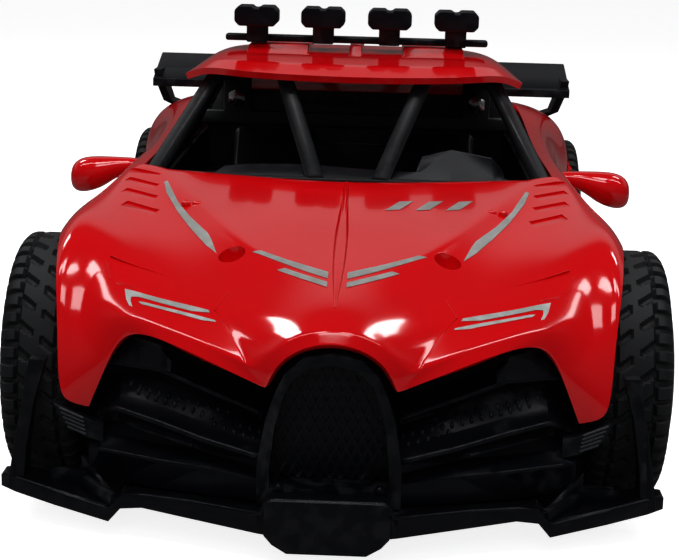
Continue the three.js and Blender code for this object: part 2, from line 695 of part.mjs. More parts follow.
function cabinFrame() {
  const railZ = (sillRail.z[0] + sillRail.z[1]) / 2;
  const [railFront, railRear] = sillRail.y;
  const [roofFront, roofRear] = roofRail.y;
  const [frontFoot, middleFoot, rearFoot] = pillarFootShares.map(alongAt);
  const middleTop = alongAt(middlePillarTopShare);
  const cowl = [sillRail.z[0], sillRail.z[0] + cowlRailHeight];
  const crossX = [-sillRail.x, sillRail.x];
  const parts = [
    block(crossX, [railFront, railFront + frameBar], cowl),
    block(crossX, [railRear - frameBar, railRear], [sillRail.z[0], railZ]),
    block([-roofRail.x, roofRail.x], [roofFront - frameBar, roofFront], [
      roofRail.z - frameBar / 2,
      roofRail.z + frameBar / 2,
    ]),
  ];
  for (const side of [-1, 1]) {
    const railX = side * sillRail.x;
    const roofX = side * roofRail.x;
    const across = (x, width) => [x - width / 2, x + width / 2];
    parts.push(
      block(across(railX, sillRail.width), sillRail.y, sillRail.z),
      block(across(roofX, frameBar), roofRail.y, [
        roofRail.z - frameBar / 2,
        roofRail.z + frameBar / 2,
      ]),
    );
    const pillars = [
      [frontFoot, roofFront],
      [middleFoot, middleTop],
      [rearFoot, roofRear - frameBar],
    ];
    for (const [footY, topY] of pillars) {
      const from = [railX, footY, railZ];
      parts.push(beam(from, [roofX, topY, roofRail.z], frameBar, frameBar));
    }
    const [topX, topY, topZ] = windscreenBar.top;
    const [footX, footY, footZ] = windscreenBar.foot;
    parts.push(beam([side * footX, footY, footZ], [side * topX, topY, topZ], frameBar, frameBar));
    const postX = side * bulkhead.x;
    parts.push(
      block(across(postX, bulkhead.width), [bulkhead.y, bulkhead.y + bulkhead.depth], [
        bulkhead.z - bulkhead.width,
        roofRail.z,
      ]),
    );
  }
  parts.push(
    block(crossX, [bulkhead.y, bulkhead.y + frameBar], [
      bulkhead.z - bulkhead.width,
      bulkhead.z - bulkhead.width / 2,
    ]),
    block([-roofRail.x, roofRail.x], [bulkhead.y, bulkhead.y + frameBar], [
      roofRail.z - frameBar / 2,
      roofRail.z + frameBar / 2,
    ]),
  );
  for (let i = 0; i < slatCount; i += 1) {
    const share = (i + 1) / (slatCount + 1);
    const y = roofRear + (rearFoot - roofRear) * share;
    const z = roofRail.z + (railZ - roofRail.z) * share;
    const x = roofRail.x + (sillRail.x - roofRail.x) * share;
    parts.push(block([-x, x], [y - slat.depth / 2, y + slat.depth / 2], [z - slat.thickness, z]));
  }
  const screwHoles = [-1, 1].map((side) =>
    solid(
      rodAlongZ(screwHole, [-overrun, bulkhead.depth + overrun], screwSides)
        .rotateX(-quarterTurn)
        .translate(side * bulkhead.x, bulkhead.y, bulkhead.z),
    ),
  );
  return piece("cabin_frame", cut(joined(...parts), ...screwHoles), greySatin);
}

// Door mirrors: an arm rooted in the shell, and a deep rounded pod
const mirrorHalfDepth = 4.2;
const mirrorAlongShare = 0.3643;
// From root to tip: across, depth as a share of the deepest, top and bottom
const mirrorShares = [
  [0.83, 0.476, 0.98, 0.932],
  [0.94, 0.571, 0.982, 0.912],
  [1.01, 0.952, 0.984, 0.852],
  [1.09, 1, 0.982, 0.828],
  [1.128, 0.762, 0.956, 0.84],
  [1.14, 0.429, 0.928, 0.868],
];
const cornerShare = 0.3;

function mirrorBody(side, grow) {
  const sections = mirrorShares.map(([across, depth, top, bottom]) => {
    const [low, high] = [upAt(bottom) - grow, upAt(top) + grow];
    const deep = depth * mirrorHalfDepth + grow;
    const corner = cornerShare * Math.min(high - low, deep * 2);
    return [
      [-deep, low + corner],
      [-deep + corner, low],
      [deep - corner, low],
      [deep, low + corner],
      [deep, high - corner],
      [deep - corner, high],
      [-deep + corner, high],
      [-deep, high - corner],
    ].map(([y, z]) => [side * acrossAt(across), alongAt(mirrorAlongShare) + y, z]);
  });
  if (grow > 0) sections[0] = sections[0].map(([x, y, z]) => [x - side * overrun, y, z]);
  return lofted(sections);
}
const doorMirror = (side) =>
  piece(`mirror_${sideNames.get(side)}`, mirrorBody(side, 0), redGloss);

// Rear wing: a tilted blade whose end plates stand in slots of the haunches
const wingAcrossShare = 1.12;
const wingAlongShares = [1.15, 1.2929];
const wingUpShares = [1.032, 1.178];
const wingThickness = 2;
const wing = {
  halfWidth: acrossAt(wingAcrossShare),
  y: wingAlongShares.map(alongAt),
  z: wingUpShares.map(upAt),
  thickness: wingThickness,
};
const plateThickness = 2.1;
const plateInset = 0.1;
// End plates, from the blade down: share of the wing's half width, front and rear, up; and last
// the foot that enters the side of the shell
const plateShares = [
  [1, 1.157, 1.2286, 1.12],
  [0.9929, 1.16, 1.2314, 1.06],
  [0.959, 1.1743, 1.2357, 0.948],
];
const plateFootAcrossShares = [0.932, 0.868];
const plateFootAlongShares = [1.1929, 1.24];
const plateFootUpShares = [0.876, 0.912];

function wingPlateBody(side, grow) {
  const plan = ([wide, front, rear, up]) => {
    const outerX = wide * wing.halfWidth - plateInset + grow;
    const innerX = outerX - plateThickness - grow * 2;
    return [
      [side * innerX, alongAt(front) - grow, upAt(up)],
      [side * outerX, alongAt(front) - grow, upAt(up)],
      [side * outerX, alongAt(rear) + grow, upAt(up)],
      [side * innerX, alongAt(rear) + grow, upAt(up)],
    ];
  };
  const [y0, y1] = plateFootAlongShares.map(alongAt);
  const [low, high] = plateFootUpShares.map(upAt);
  const upright = (x) => [
    [side * x, y0 - grow, high + grow],
    [side * x, y0 - grow, low - grow],
    [side * x, y1 + grow, low - grow],
    [side * x, y1 + grow, high + grow],
  ];
  const [outer, inner] = plateFootAcrossShares.map(acrossAt);
  return lofted([...plateShares.map(plan), upright(outer), upright(inner - grow)]);
}

function rearWing() {
  const [front, rear] = wing.y;
  const [low, high] = wing.z;
  const lip = wing.thickness;
  const bladeSide = [
    [front, low],
    [front + lip * 2, low],
    [rear, high - lip],
    [rear, high],
    [rear - lip, high],
    [front, low + lip],
  ];
  const blade = sideOutline(bladeSide, [-wing.halfWidth, wing.halfWidth]);
  return piece(
    "rear_wing",
    joined(blade, wingPlateBody(-1, 0), wingPlateBody(1, 0)),
    blackSatin,
  );
}

// Chassis pan: a floor, carriers for the front axle, towers for the body screws, tray posts
const groundClearance = 7;
const floorThickness = 2;
const panFloor = [groundClearance, groundClearance + floorThickness];
const panHalfShare = 0.91;
const panWaistShare = 0.66;
const panEndShares = [-0.15, 1.2286];
const panSideShares = [0.1857, 0.8143];
const panWellShares = [0.1714, 0.8357];
const panHalfWidth = acrossAt(panHalfShare);
const panWaist = acrossAt(panWaistShare);
const panY = panEndShares.map(alongAt);
const axleRadius = 1.5;
const axleHole = axleRadius + fitGap;
const carrierShare = 0.58;
const carrierRise = 5.5;
const carrierThickness = 3;
const carrierHalfDepth = 8;
const carrier = {
  x: acrossAt(carrierShare),
  thickness: carrierThickness,
  halfDepth: carrierHalfDepth,
  top: axleZ + carrierRise,
};
const towerRadius = 3.4;
const trayPostAcrossShare = 0.54;
const trayPostAlongShares = [0.3857, 0.6143];
const trayPostRadius = 3;
const [trayPostFront, trayPostRear] = trayPostAlongShares.map(alongAt);
const trayPost = {
  x: acrossAt(trayPostAcrossShare),
  front: trayPostFront,
  rear: trayPostRear,
  radius: trayPostRadius,
};
const panRibAcrossShare = 0.26;
const panRibAlongShares = [0.1, 0.6857];
const panRib = { width: 1.6, height: 5 };

// Rear axle motor: a case that hangs round the axle, and its gear train along the floor
const gearModule = 0.7;
const pinionTeeth = 10;
const idlerTeeth = 24;
const barrelTeeth = 28;
const pitchRadius = (teeth) => (gearModule * teeth) / 2;
const meshPlay = 0.15;
const idlerY = rearAxleY - pitchRadius(pinionTeeth) - pitchRadius(idlerTeeth) - meshPlay;
const barrelY = idlerY - pitchRadius(pinionTeeth) - pitchRadius(barrelTeeth) - meshPlay;
const toothTopShare = 0.85;
const toothRootShare = 1.15;
const toothTop = toothTopShare * gearModule;
const toothRoot = toothRootShare * gearModule;
const barrelTip = pitchRadius(barrelTeeth) + toothTop;
const motorRoom = { above: 1.2, ahead: 0.4, behind: 3.7 };
const motorWall = 1.2;
const motor = {
  halfWidth: 10,
  wall: motorWall,
  front: barrelY - barrelTip - motorRoom.ahead - motorWall,
  rear: rearAxleY + pitchRadius(pinionTeeth) - toothRoot + motorRoom.behind,
};
const motorZ = [panFloor[1] + fitGap, axleZ + barrelTip + motorRoom.above + motorWall];
const motorEar = { reach: 6, x: 5, height: 2.4 };
const trayGap = 1.2;
const trayZ = [motorZ[1] + trayGap, trayRimZ];

function chassisPan() {
  const [front, rear] = panY;
  const [sideFront, sideRear] = panSideShares.map(alongAt);
  const [wellFront, wellRear] = panWellShares.map(alongAt);
  const half = [
    [panWaist, front],
    [panWaist, wellFront],
    [panHalfWidth, sideFront],
    [panHalfWidth, sideRear],
    [panWaist, wellRear],
    [panWaist, rear],
  ];
  const outline = [...half, ...half.map(([x, y]) => [-x, y]).reverse()];
  const [low, floor] = panFloor;
  const round = (radius, z, { x, y }) =>
    solid(rodAlongZ(radius, z, bossSides).translate(x, y, 0));
  const added = [];
  const holes = [];
  for (const side of [-1, 1]) {
    const x = side * carrier.x;
    const wall = [x - carrier.thickness / 2, x + carrier.thickness / 2];
    for (const axleY of [frontAxleY, rearAxleY]) {
      const y = [axleY - carrier.halfDepth, axleY + carrier.halfDepth];
      added.push(block(wall, y, [low, carrier.top]));
      holes.push(
        solid(
          rodAlongX(axleHole, [wall[0] - overrun, wall[1] + overrun], bossSides).translate(
            0,
            axleY,
            axleZ,
          ),
        ),
      );
    }
    const bonnet = { x: side * bonnetBoss.x, y: bonnetBoss.y };
    const deck = { x: side * deckBoss.x, y: deckBoss.y };
    added.push(round(towerRadius, [low, bonnetBoss.foot - fitGap], bonnet));
    added.push(round(towerRadius, [low, deckBoss.foot - fitGap], deck));
    holes.push(round(screwHole, [low - overrun, bonnetBoss.foot + overrun], bonnet));
    holes.push(round(screwHole, [low - overrun, deckBoss.foot + overrun], deck));
    holes.push(round(recessRadius, [low - overrun, deckScrewZ], deck));
    for (const y of [trayPost.front, trayPost.rear]) {
      const post = { x: side * trayPost.x, y };
      added.push(round(trayPost.radius, [low, trayZ[0] - fitGap], post));
      holes.push(
        round(screwHole, [trayZ[0] - screwLength.tray - overrun, trayZ[0] + overrun], post),
      );
    }
    const ribX = side * acrossAt(panRibAcrossShare);
    const ribY = panRibAlongShares.map(alongAt);
    const ribWide = [ribX - panRib.width / 2, ribX + panRib.width / 2];
    added.push(block(ribWide, ribY, [low, floor + panRib.height]));
    const earX = side * motorEar.x;
    const ear = { x: earX, y: motor.front - motorEar.reach / 2 };
    holes.push(round(screwHole, [low - overrun, floor + overrun], ear));
  }
  const plate = planOutline(outline, panFloor);
  return piece("chassis_pan", cut(joined(plate, ...added), ...holes), blackSatin);
}

// A gear drawn in side view: teeth are [share of the pitch angle, radius] corners on each side
const rootHalfShare = 0.3;
const tipHalfShare = 0.12;

function gearOutline(teeth, phase) {
  const pitchAngle = (2 * halfTurn) / teeth;
  const tip = pitchRadius(teeth) + toothTop;
  const root = pitchRadius(teeth) - toothRoot;
  const corners = [
    [-rootHalfShare, root],
    [-tipHalfShare, tip],
    [tipHalfShare, tip],
    [rootHalfShare, root],
  ];
  const outline = [];
  for (let tooth = 0; tooth < teeth; tooth += 1) {
    for (const [share, radius] of corners) {
      const angle = phase + (tooth + share) * pitchAngle;
      outline.push([radius * Math.cos(angle), radius * Math.sin(angle)]);
    }
  }
  return outline;
}

const pinRadius = 1;
const pinHole = pinRadius + fitGap;
const gapPhase = (teeth) => halfTurn + halfTurn / teeth;
const bored = (body, radius, [x0, x1]) =>
  cut(body, solid(rodAlongX(radius, [x0 - overrun, x1 + overrun], bossSides)));

// Places across the motor case: first wheel, second wheel, spring drum
const driveX = [-6, -2.4];
const drumX = [0.9, 4.3];
const drum = { radius: 9, wall: 1, depth: 4 };
const spring = { inner: 1.5, outer: 7.5, turns: 6, thickness: 0.35, steps: 10 };

function axlePinion() {
  const body = sideOutline(gearOutline(pinionTeeth, gapPhase(pinionTeeth)), driveX);
  return piece("axle_pinion", bored(body, axleHole, driveX), gearWhite);
}

function idlerGear() {
  const wide = sideOutline(gearOutline(idlerTeeth, 0), driveX);
  const smallX = [driveX[1] - overrun, drumX[1]];
  const small = sideOutline(gearOutline(pinionTeeth, gapPhase(pinionTeeth)), smallX);
  const whole = [driveX[0], drumX[1]];
  return piece("idler_gear", bored(joined(wide, small), pinHole, whole), gearWhite);
}

function springDrum() {
  const wheel = bored(sideOutline(gearOutline(barrelTeeth, 0), drumX), pinHole, drumX);
  const cup = solid(
    turnedAlongX(
      [
        [drum.radius - drum.wall, drumX[1] - drum.wall],
        [drum.radius, drumX[1] - drum.wall],
        [drum.radius, drumX[1] + drum.depth],
        [drum.radius - drum.wall, drumX[1] + drum.depth],
        [drum.radius - drum.wall, drumX[1] - drum.wall],
      ],
      wheelSides,
    ),
  );
  return piece("spring_drum", joined(wheel, cup), gearWhite);
}

function mainspring() {
  const count = spring.turns * spring.steps;
  const side = (offset) =>
    Array.from({ length: count + 1 }, (_, i) => {
      const radius = spring.inner + ((spring.outer - spring.inner) * i) / count + offset;
      const angle = (2 * halfTurn * i) / spring.steps;
      return [radius * Math.cos(angle), radius * Math.sin(angle)];
    });
  const half = spring.thickness / 2;
  const strip = [...side(half), ...side(-half).reverse()];
  return piece(
    "mainspring",
    sideOutline(strip, [drumX[1] + fitGap, drumX[1] + drum.depth - fitGap]),
    springSteel,
  );
}

function motorShaft(name) {
  const reach = motor.halfWidth - fitGap;
  return piece(name, solid(rodAlongX(pinRadius, [-reach, reach], bossSides)), steel);
}

const shaftPlaces = [
  [rearAxleY, axleHole],
  [idlerY, pinHole],
  [barrelY, pinHole],
];

function shaftHoles() {
  return shaftPlaces.map(([y, radius]) =>
    solid(
      rodAlongX(radius, [-motor.halfWidth - overrun, motor.halfWidth + overrun], bossSides)
        .translate(0, y, axleZ),
    ),
  );
}

function motorCase() {
  const { halfWidth, wall, front, rear } = motor;
  const [low, high] = motorZ;
  const open = halfWidth - wall - fitGap;
  const outer = block([-halfWidth, open], [front, rear], motorZ);
  const inner = block(
    [-halfWidth + wall, open + overrun],
    [front + wall, rear - wall],
    [low + wall, high - wall],
  );
  const ears = [-1, 1].map((side) => {
    const x = side * motorEar.x;
    const reach = motorEar.reach;
    const half = reach / 2;
    const ear = block(
      [x - half, Math.min(x + half, open)],
      [front - reach, front + wall / 2],
      [low, low + motorEar.height],
    );
    const hole = rodAlongZ(screwHole, [low - overrun, high], bossSides);
    return cut(ear, solid(hole.translate(x, front - half, 0)));
  });
  return piece("motor_case", joined(cut(outer, inner, ...shaftHoles()), ...ears), greySatin);
}

function motorCover() {
  const { halfWidth, wall, front, rear } = motor;
  const plate = block([halfWidth - wall, halfWidth], [front, rear], motorZ);
  return piece("motor_cover", cut(plate, ...shaftHoles()), greySatin);
}

// Wheels, drawn with the outer face towards +X
const rimRadius = 15;
const rimWall = 1.4;
const rimHalfWidth = 7.4;
const hubRadius = 3.4;
const hubBack = -3;
const hubFront = 5.6;
const axleSeat = 4.2;
const spokeCount = 10;
const spoke = { width: 2.2, depth: 2.4, front: 5.2 };
const wheelSides = 20;
const tyreSides = 32;
const treadLug = 0.9;
const tyreInner = rimRadius + fitGap;
const tyreShares = [
  [0, -0.9], [0.3, -1], [0.7, -1], [0.92, -0.86], [1, -0.55],
  [1, 0.55], [0.92, 0.86], [0.7, 1], [0.3, 1], [0, 0.9],
];
const lugRowShares = [0.92];

function wheelRim() {
  const half = rimHalfWidth;
  const thin = rimRadius - rimWall;
  const ring = [
    [thin, -half],
    [rimRadius, -half],
    [rimRadius, half],
    [thin, half],
    [thin, -half],
  ];
  const barrel = solid(turnedAlongX(ring, wheelSides));
  const hub = solid(rodAlongX(hubRadius, [hubBack, hubFront], bossSides));
  const spokeFoot = hubRadius / 2;
  const spokeTip = thin + rimWall / 2;
  const spokes = Array.from({ length: spokeCount }, (_, i) => {
    const arm = new THREE.BoxGeometry(spoke.depth, spoke.width, spokeTip - spokeFoot);
    arm.translate(spoke.front - spoke.depth / 2, 0, (spokeTip + spokeFoot) / 2);
    return solid(arm.rotateX((2 * halfTurn * i) / spokeCount));
  });
  const seat = solid(rodAlongX(axleHole, [hubBack - overrun, axleSeat], bossSides));
  return cut(joined(barrel, hub, ...spokes), seat);
}

function wheelTyre() {
  const geometry = turnedAlongX(
    [...tyreShares, tyreShares[0]].map(([deep, across]) => [
      tyreInner + deep * (tyreRadius - tyreInner),
      (across * tyreWidth) / 2,
    ]),
    tyreSides,
  );
  const place = geometry.attributes.position;
  const rows = tyreShares.length + 1;
  for (let i = 0; i < place.count; i += 1) {
    const column = Math.floor(i / rows) % tyreSides;
    const [deep] = tyreShares[(i % rows) % tyreShares.length];
    if (column % 2 === 0 || !lugRowShares.includes(deep)) continue;
    const y = place.getY(i);
    const z = place.getZ(i);
    const shrink = 1 - treadLug / Math.hypot(y, z);
    place.setY(i, y * shrink);
    place.setZ(i, z * shrink);
  }
  return solid(geometry);
}

function wheelset(end, axleY) {
  const group = new THREE.Group();
  group.position.set(0, axleY, axleZ);
  const reach = halfTrack + axleSeat - fitGap;
  group.add(piece(`${end}_axle`, solid(rodAlongX(axleRadius, [-reach, reach], bossSides)), steel));
  for (const [side, name] of sideNames) {
    const wheel = new THREE.Group();
    wheel.position.x = side * halfTrack;
    wheel.rotation.z = side > 0 ? 0 : halfTurn;
    wheel.add(piece(`${end}_rim_${name}`, wheelRim(), rimGrey));
    wheel.add(piece(`${end}_tyre_${name}`, wheelTyre(), rubber));
    group.add(wheel);
  }
  return group;
}

// Cabin: tray, dashboard with its instrument hood, steering wheel and two seats
const trayInset = 0.5;
const tray = {
  halfWidth: sillRail.x - trayInset,
  y: [sillRail.y[0] + fitGap, sillRail.y[1] - fitGap],
  wall: 1.4,
};
const trayFloorZ = trayZ[0] + tray.wall + fitGap;
const trayDepth = trayZ[1] - trayFloorZ;
// Across is a share of the tray's half width here, and height a share of the tray's depth
const dashAcrossShare = 0.904;
const dashAlongShares = [0.2643, 0.3429];
const dashHeightShare = 1.041;
const dashFallShare = 0.204;
const hoodAcrossShares = [0.3, 0.824];
const hoodAlongShares = [0.2929, 0.35];
const hoodTopShare = 1.068;
const hoodShoulderShare = 0.4335;
const steeringShares = [0.4, 0.4, 0.908];
const steering = { radius: 5.6, tube: 0.9, tilt: 0.4, column: 1.4 };
const steeringTubeSides = 6;
const steeringSteps = 20;
const seatAcrossShare = 0.465;
const seatHalfShare = 0.253;
const seatAlongShares = [0.45, 0.607];
const seatTopShare = 1.02;
const cushionShare = 0.326;
const cushionFrontShare = 1.2;
const seatBack = 5.5;
const seatLean = 5;

function cabinTray() {
  const { halfWidth, y, wall } = tray;
  const outer = block([-halfWidth, halfWidth], y, trayZ);
  const inner = block(
    [-halfWidth + wall, halfWidth - wall],
    [y[0] + wall, y[1] - wall],
    [trayZ[0] + wall, trayZ[1] + overrun],
  );
  const holes = [-1, 1].map((side) =>
    solid(
      rodAlongZ(screwHole, [trayZ[0] - overrun, trayZ[1]], bossSides)
        .translate(side * trayPost.x, trayPost.front, 0),
    ),
  );
  return piece("cabin_tray", cut(outer, inner, ...holes), blackSatin);
}

function dashboard() {
  const half = dashAcrossShare * tray.halfWidth;
  const [front, rear] = dashAlongShares.map(alongAt);
  const top = trayFloorZ + dashHeightShare * trayDepth;
  const dashFall = dashFallShare * trayDepth;
  const side = [
    [front, trayFloorZ],
    [rear, trayFloorZ],
    [rear, top - dashFall * 2],
    [rear - dashFall, top],
    [front + dashFall, top],
    [front, top - dashFall],
  ];
  const [left, right] = hoodAcrossShares.map((share) => share * tray.halfWidth);
  const hoodTop = upAt(hoodTopShare);
  const step = hoodShoulderShare * (hoodTop - top);
  const hoodOutline = [
    [left, top - dashFall],
    [right, top - dashFall],
    [right, hoodTop - step * 2],
    [right - step * 2, hoodTop - step / 2],
    [left + step * 2, hoodTop],
    [left, hoodTop - step],
  ];
  const desk = sideOutline(side, [-half, half]);
  const hood = frontOutline(hoodOutline, hoodAlongShares.map(alongAt));
  return piece("dashboard", joined(desk, hood), greySatin);
}

function steeringWheel() {
  const [x, y, z] = placeAt(steeringShares);
  const { radius, tube } = steering;
  const ring = solid(new THREE.TorusGeometry(radius, tube, steeringTubeSides, steeringSteps));
  const spokes = solid(new THREE.BoxGeometry(radius * 2, tube * 2, tube));
  const [, dashRear] = dashAlongShares.map(alongAt);
  const reach = dashRear + fitGap - y;
  const columnEnd = reach / Math.cos(steering.tilt) + steering.column;
  const column = solid(rodAlongZ(steering.column, [columnEnd, 0], bossSides));
  const mesh = piece("steering_wheel", joined(ring, spokes, column), blackSatin);
  mesh.rotation.x = -quarterTurn - steering.tilt;
  mesh.position.set(x, y, z);
  return mesh;
}

function seatBody(name, side) {
  const [front, rear] = seatAlongShares.map(alongAt);
  const top = upAt(seatTopShare);
  const low = trayFloorZ;
  const cushion = cushionShare * (top - low);
  const profile = [
    [front, low],
    [rear, low],
    [rear + seatLean, top],
    [rear + seatLean - seatBack / 2, top],
    [rear - seatBack, low + cushion],
    [front + cushion, low + cushion],
    [front, low + cushion * cushionFrontShare],
  ];
  const x = side * seatAcrossShare * tray.halfWidth;
  const half = seatHalfShare * tray.halfWidth;
  return piece(name, sideOutline(profile, [x - half, x + half]), greySatin);
}

// Nose: bumper with intakes and arched grille, and the splitter below it
const bumperBaseShare = 0.162;
const bumperBase = upAt(bumperBaseShare);
const bumper = { mesh: 3.4, thin: 1.6, under: 2.1, lip: 2.4, lipUnder: 2.9, wall: 3 };
const bumperTop = { inset: 2.6, drop: 1.4 };
const bumperShelf = 1.2;
// Shares as for the shell: across, then along and up of the top, the ledge, the lip and the foot
const bumperShares = [
  [0.22, [-0.2535, 0.545], [-0.232, 0.44], [-0.257, 0.318], [-0.25, 0.23]],
  [0.4, [-0.231, 0.604], [-0.211, 0.49], [-0.239, 0.35], [-0.236, 0.252]],
  [0.56, [-0.2035, 0.64], [-0.189, 0.536], [-0.213, 0.38], [-0.218, 0.256]],
  [0.7, [-0.16, 0.645], [-0.162, 0.53], [-0.189, 0.4], [-0.196, 0.258]],
  [0.8, [-0.139, 0.6], [-0.141, 0.52], [-0.146, 0.34], [-0.179, 0.258]],
];
const archShares = [
  [0, 0.664], [0.092, 0.646], [0.146, 0.592], [0.178, 0.524], [0.204, 0.44], [0.228, 0.3],
  [0.228, 0.162],
];
const archInnerShares = [
  [0, 0.626], [0.083, 0.61], [0.128, 0.562], [0.154, 0.5], [0.174, 0.42], [0.188, 0.28],
  [0.188, 0.22],
];
const archRingShares = [-0.2643, -0.2143];
const archGrilleShares = [-0.2257, -0.2143];
const grilleGrow = 0.6;
// A ribbed corner below the end of the shell: across and up
const cornerShares = [
  [0.752, 0.27], [0.752, 0.336], [0.8, 0.344], [0.85, 0.364], [0.915, 0.394], [0.885, 0.33],
  [0.81, 0.285],
];
const cornerAlongShares = [-0.1771, -0.1614];

function bumperSection([across, ...places], side) {
  const [top, ledge, lip, foot] = places.map(([along, up]) => [alongAt(along), upAt(up)]);
  const { mesh, thin, wall } = bumper;
  const { inset, drop } = bumperTop;
  const back = panY[0] - fitGap;
  return [
    [top[0] + inset + wall, top[1] - drop],
    [top[0] + inset, top[1] - drop],
    [ledge[0] + mesh, ledge[1] + thin],
    [ledge[0], ledge[1]],
    [ledge[0] + thin / 2, ledge[1] - thin],
    [ledge[0] + mesh, ledge[1] - bumper.under],
    [lip[0] + mesh, lip[1] + thin],
    [lip[0], lip[1]],
    [lip[0] + thin / 2, lip[1] - bumper.lip],
    [lip[0] + mesh, lip[1] - bumper.lipUnder],
    [foot[0] + mesh, foot[1] + thin],
    [foot[0], foot[1]],
    [foot[0], bumperBase],
    [back, bumperBase],
    [back, bumperBase + bumperShelf],
    [lip[0] + mesh + wall, lip[1]],
    [ledge[0] + mesh + wall, ledge[1]],
  ].map(([y, z]) => [side * acrossAt(across), y, z]);
}

function archOutline(shares, grow = 0) {
  const half = shares.map(([across, up]) => [
    across > 0 ? acrossAt(across) + grow : 0,
    upAt(up) + grow,
  ]);
  const other = half.slice(1).map(([x, z]) => [-x, z]);
  return [...half.reverse(), ...other];
}

function frontBumper() {
  const parts = [];
  for (const side of [-1, 1]) {
    parts.push(lofted(bumperShares.map((section) => bumperSection(section, side))));
    const corner = cornerShares.map(([across, up]) => [side * acrossAt(across), upAt(up)]);
    if (side < 0) corner.reverse();
    parts.push(frontOutline(corner, cornerAlongShares.map(alongAt)));
  }
  const [ringFront, ringRear] = archRingShares.map(alongAt);
  const ring = cut(
    frontOutline(archOutline(archShares), [ringFront, ringRear]),
    frontOutline(archOutline(archInnerShares), [ringFront - overrun, ringRear + overrun]),
  );
  const grilleY = archGrilleShares.map(alongAt);
  const grille = frontOutline(archOutline(archInnerShares, grilleGrow), grilleY);
  return piece("front_bumper", joined(ring, grille, ...parts), blackSatin);
}

const splitterRear = panY[0] - fitGap;
// From the middle out: across, front edge, underside and top
const splitterShares = [
  [0, -0.2893, 0.08, 0.156],
  [0.14, -0.2871, 0.08, 0.156],
  [0.22, -0.2857, 0.09, 0.156],
  [0.44, -0.2571, 0.1, 0.156],
  [0.6, -0.24, 0.112, 0.152],
  [0.672, -0.2336, 0.1, 0.144],
  [0.712, -0.2314, 0.052, 0.098],
  [0.9, -0.2071, 0.076, 0.124],
  [1.04, -0.1871, 0.096, 0.144],
  [1.094, -0.175, 0.104, 0.144],
];
// How far each rear edge stands behind the front of the pan, as a share of the nose span
const splitterRearShares = [0, 0, 0, 0, 0, 0, 0, 0.0057, 0.0129, 0.0057];
// Across the front of the chin from the middle out: across, underside and top
const chinShares = [
  [0, 0.042, 0.214], [0.124, 0.042, 0.214], [0.17, 0.07, 0.214], [0.196, 0.1, 0.206],
];
const chinAlongShares = [-0.3, -0.2686];
// Up the side fence: up, inner and outer, front and rear
const fenceShares = [
  [0.108, 1.016, 1.068, -0.1843, -0.1414],
  [0.24, 1.004, 1.048, -0.1843, -0.1543],
  [0.408, 0.976, 1.016, -0.1843, -0.1664],
  [0.548, 0.938, 0.992, -0.1821, -0.1636],
];
const splitterRibFromShares = [0.812, -0.1857, 0.132];
const splitterRibToShares = [0.696, -0.2257, 0.112];
const splitterRib = { width: 1.2, height: 3 };

function splitterSection([across, front, low, high], rear, side) {
  const x = side * acrossAt(across);
  return [
    [x, alongAt(front), upAt(low)],
    [x, rear, upAt(low)],
    [x, rear, upAt(high)],
    [x, alongAt(front), upAt(high)],
  ];
}

function fenceSection([up, inner, outer, front, rear], side) {
  return [
    [inner, front],
    [outer, front],
    [outer, rear],
    [inner, rear],
  ].map(([across, along]) => [side * acrossAt(across), alongAt(along), upAt(up)]);
}

function frontSplitter() {
  const half = (side) =>
    splitterShares.map((shares, i) =>
      splitterSection(shares, splitterRear + splitterRearShares[i] * noseSpan, side),
    );
  const chin = (side) =>
    chinShares.map(([across, low, high]) =>
      splitterSection([across, chinAlongShares[0], low, high], alongAt(chinAlongShares[1]), side),
    );
  const whole = (part) => lofted([...part(-1).slice(1).reverse(), ...part(1)]);
  const parts = [whole(half), whole(chin)];
  for (const side of [-1, 1]) {
    parts.push(lofted(fenceShares.map((shares) => fenceSection(shares, side))));
    const [from, to] = [splitterRibFromShares, splitterRibToShares].map((shares) => {
      const [x, y, z] = placeAt(shares);
      return [side * x, y, z];
    });
    parts.push(beam(from, to, splitterRib.width, splitterRib.height));
  }
  return piece("front_splitter", joined(...parts), blackSatin);
}

// Tail: a black bumper with diffuser fins, under the rear face of the shell
const finCount = 5;
const finWidth = 1.6;
const tailHalfShare = 0.83;
// Side outlines: along and up
const tailOutlineShares = [
  [1.2857, 0.14], [1.3321, 0.24], [1.3429, 0.33], [1.3857, 0.37], [1.3857, 0.43],
  [1.3471, 0.48], [1.3371, 0.588], [1.3114, 0.588], [1.3071, 0.4], [1.2643, 0.192],
];
const finOutlineShares = [
  [1.2643, 0.14], [1.3643, 0.14], [1.3786, 0.22], [1.3786, 0.376], [1.3286, 0.376],
];
function tailBumper() {
  const onSide = ([along, up]) => [alongAt(along), upAt(up)];
  const halfWidth = acrossAt(tailHalfShare);
  const tailFront = panY[1] + fitGap;
  const outline = tailOutlineShares.map(onSide);
  const [, footZ] = outline[0];
  const [, shelfZ] = outline.at(-1);
  outline.unshift([tailFront, footZ]);
  outline.push([tailFront, shelfZ]);
  const parts = [sideOutline(outline, [-halfWidth, halfWidth])];
  for (let i = 0; i < finCount; i += 1) {
    const x = ((i / (finCount - 1)) * 2 - 1) * (halfWidth - finWidth / 2);
    parts.push(sideOutline(finOutlineShares.map(onSide), [x - finWidth / 2, x + finWidth / 2]));
  }
  return piece("rear_bumper", joined(...parts), blackSatin);
}

// Side skirts along the pan, under the sills of the shell
const skirtAcrossShare = 1.032;
const skirtAlongShares = [0.1929, 0.8071];
const skirtTopShare = 0.248;
const skirtChamfer = 2.6;

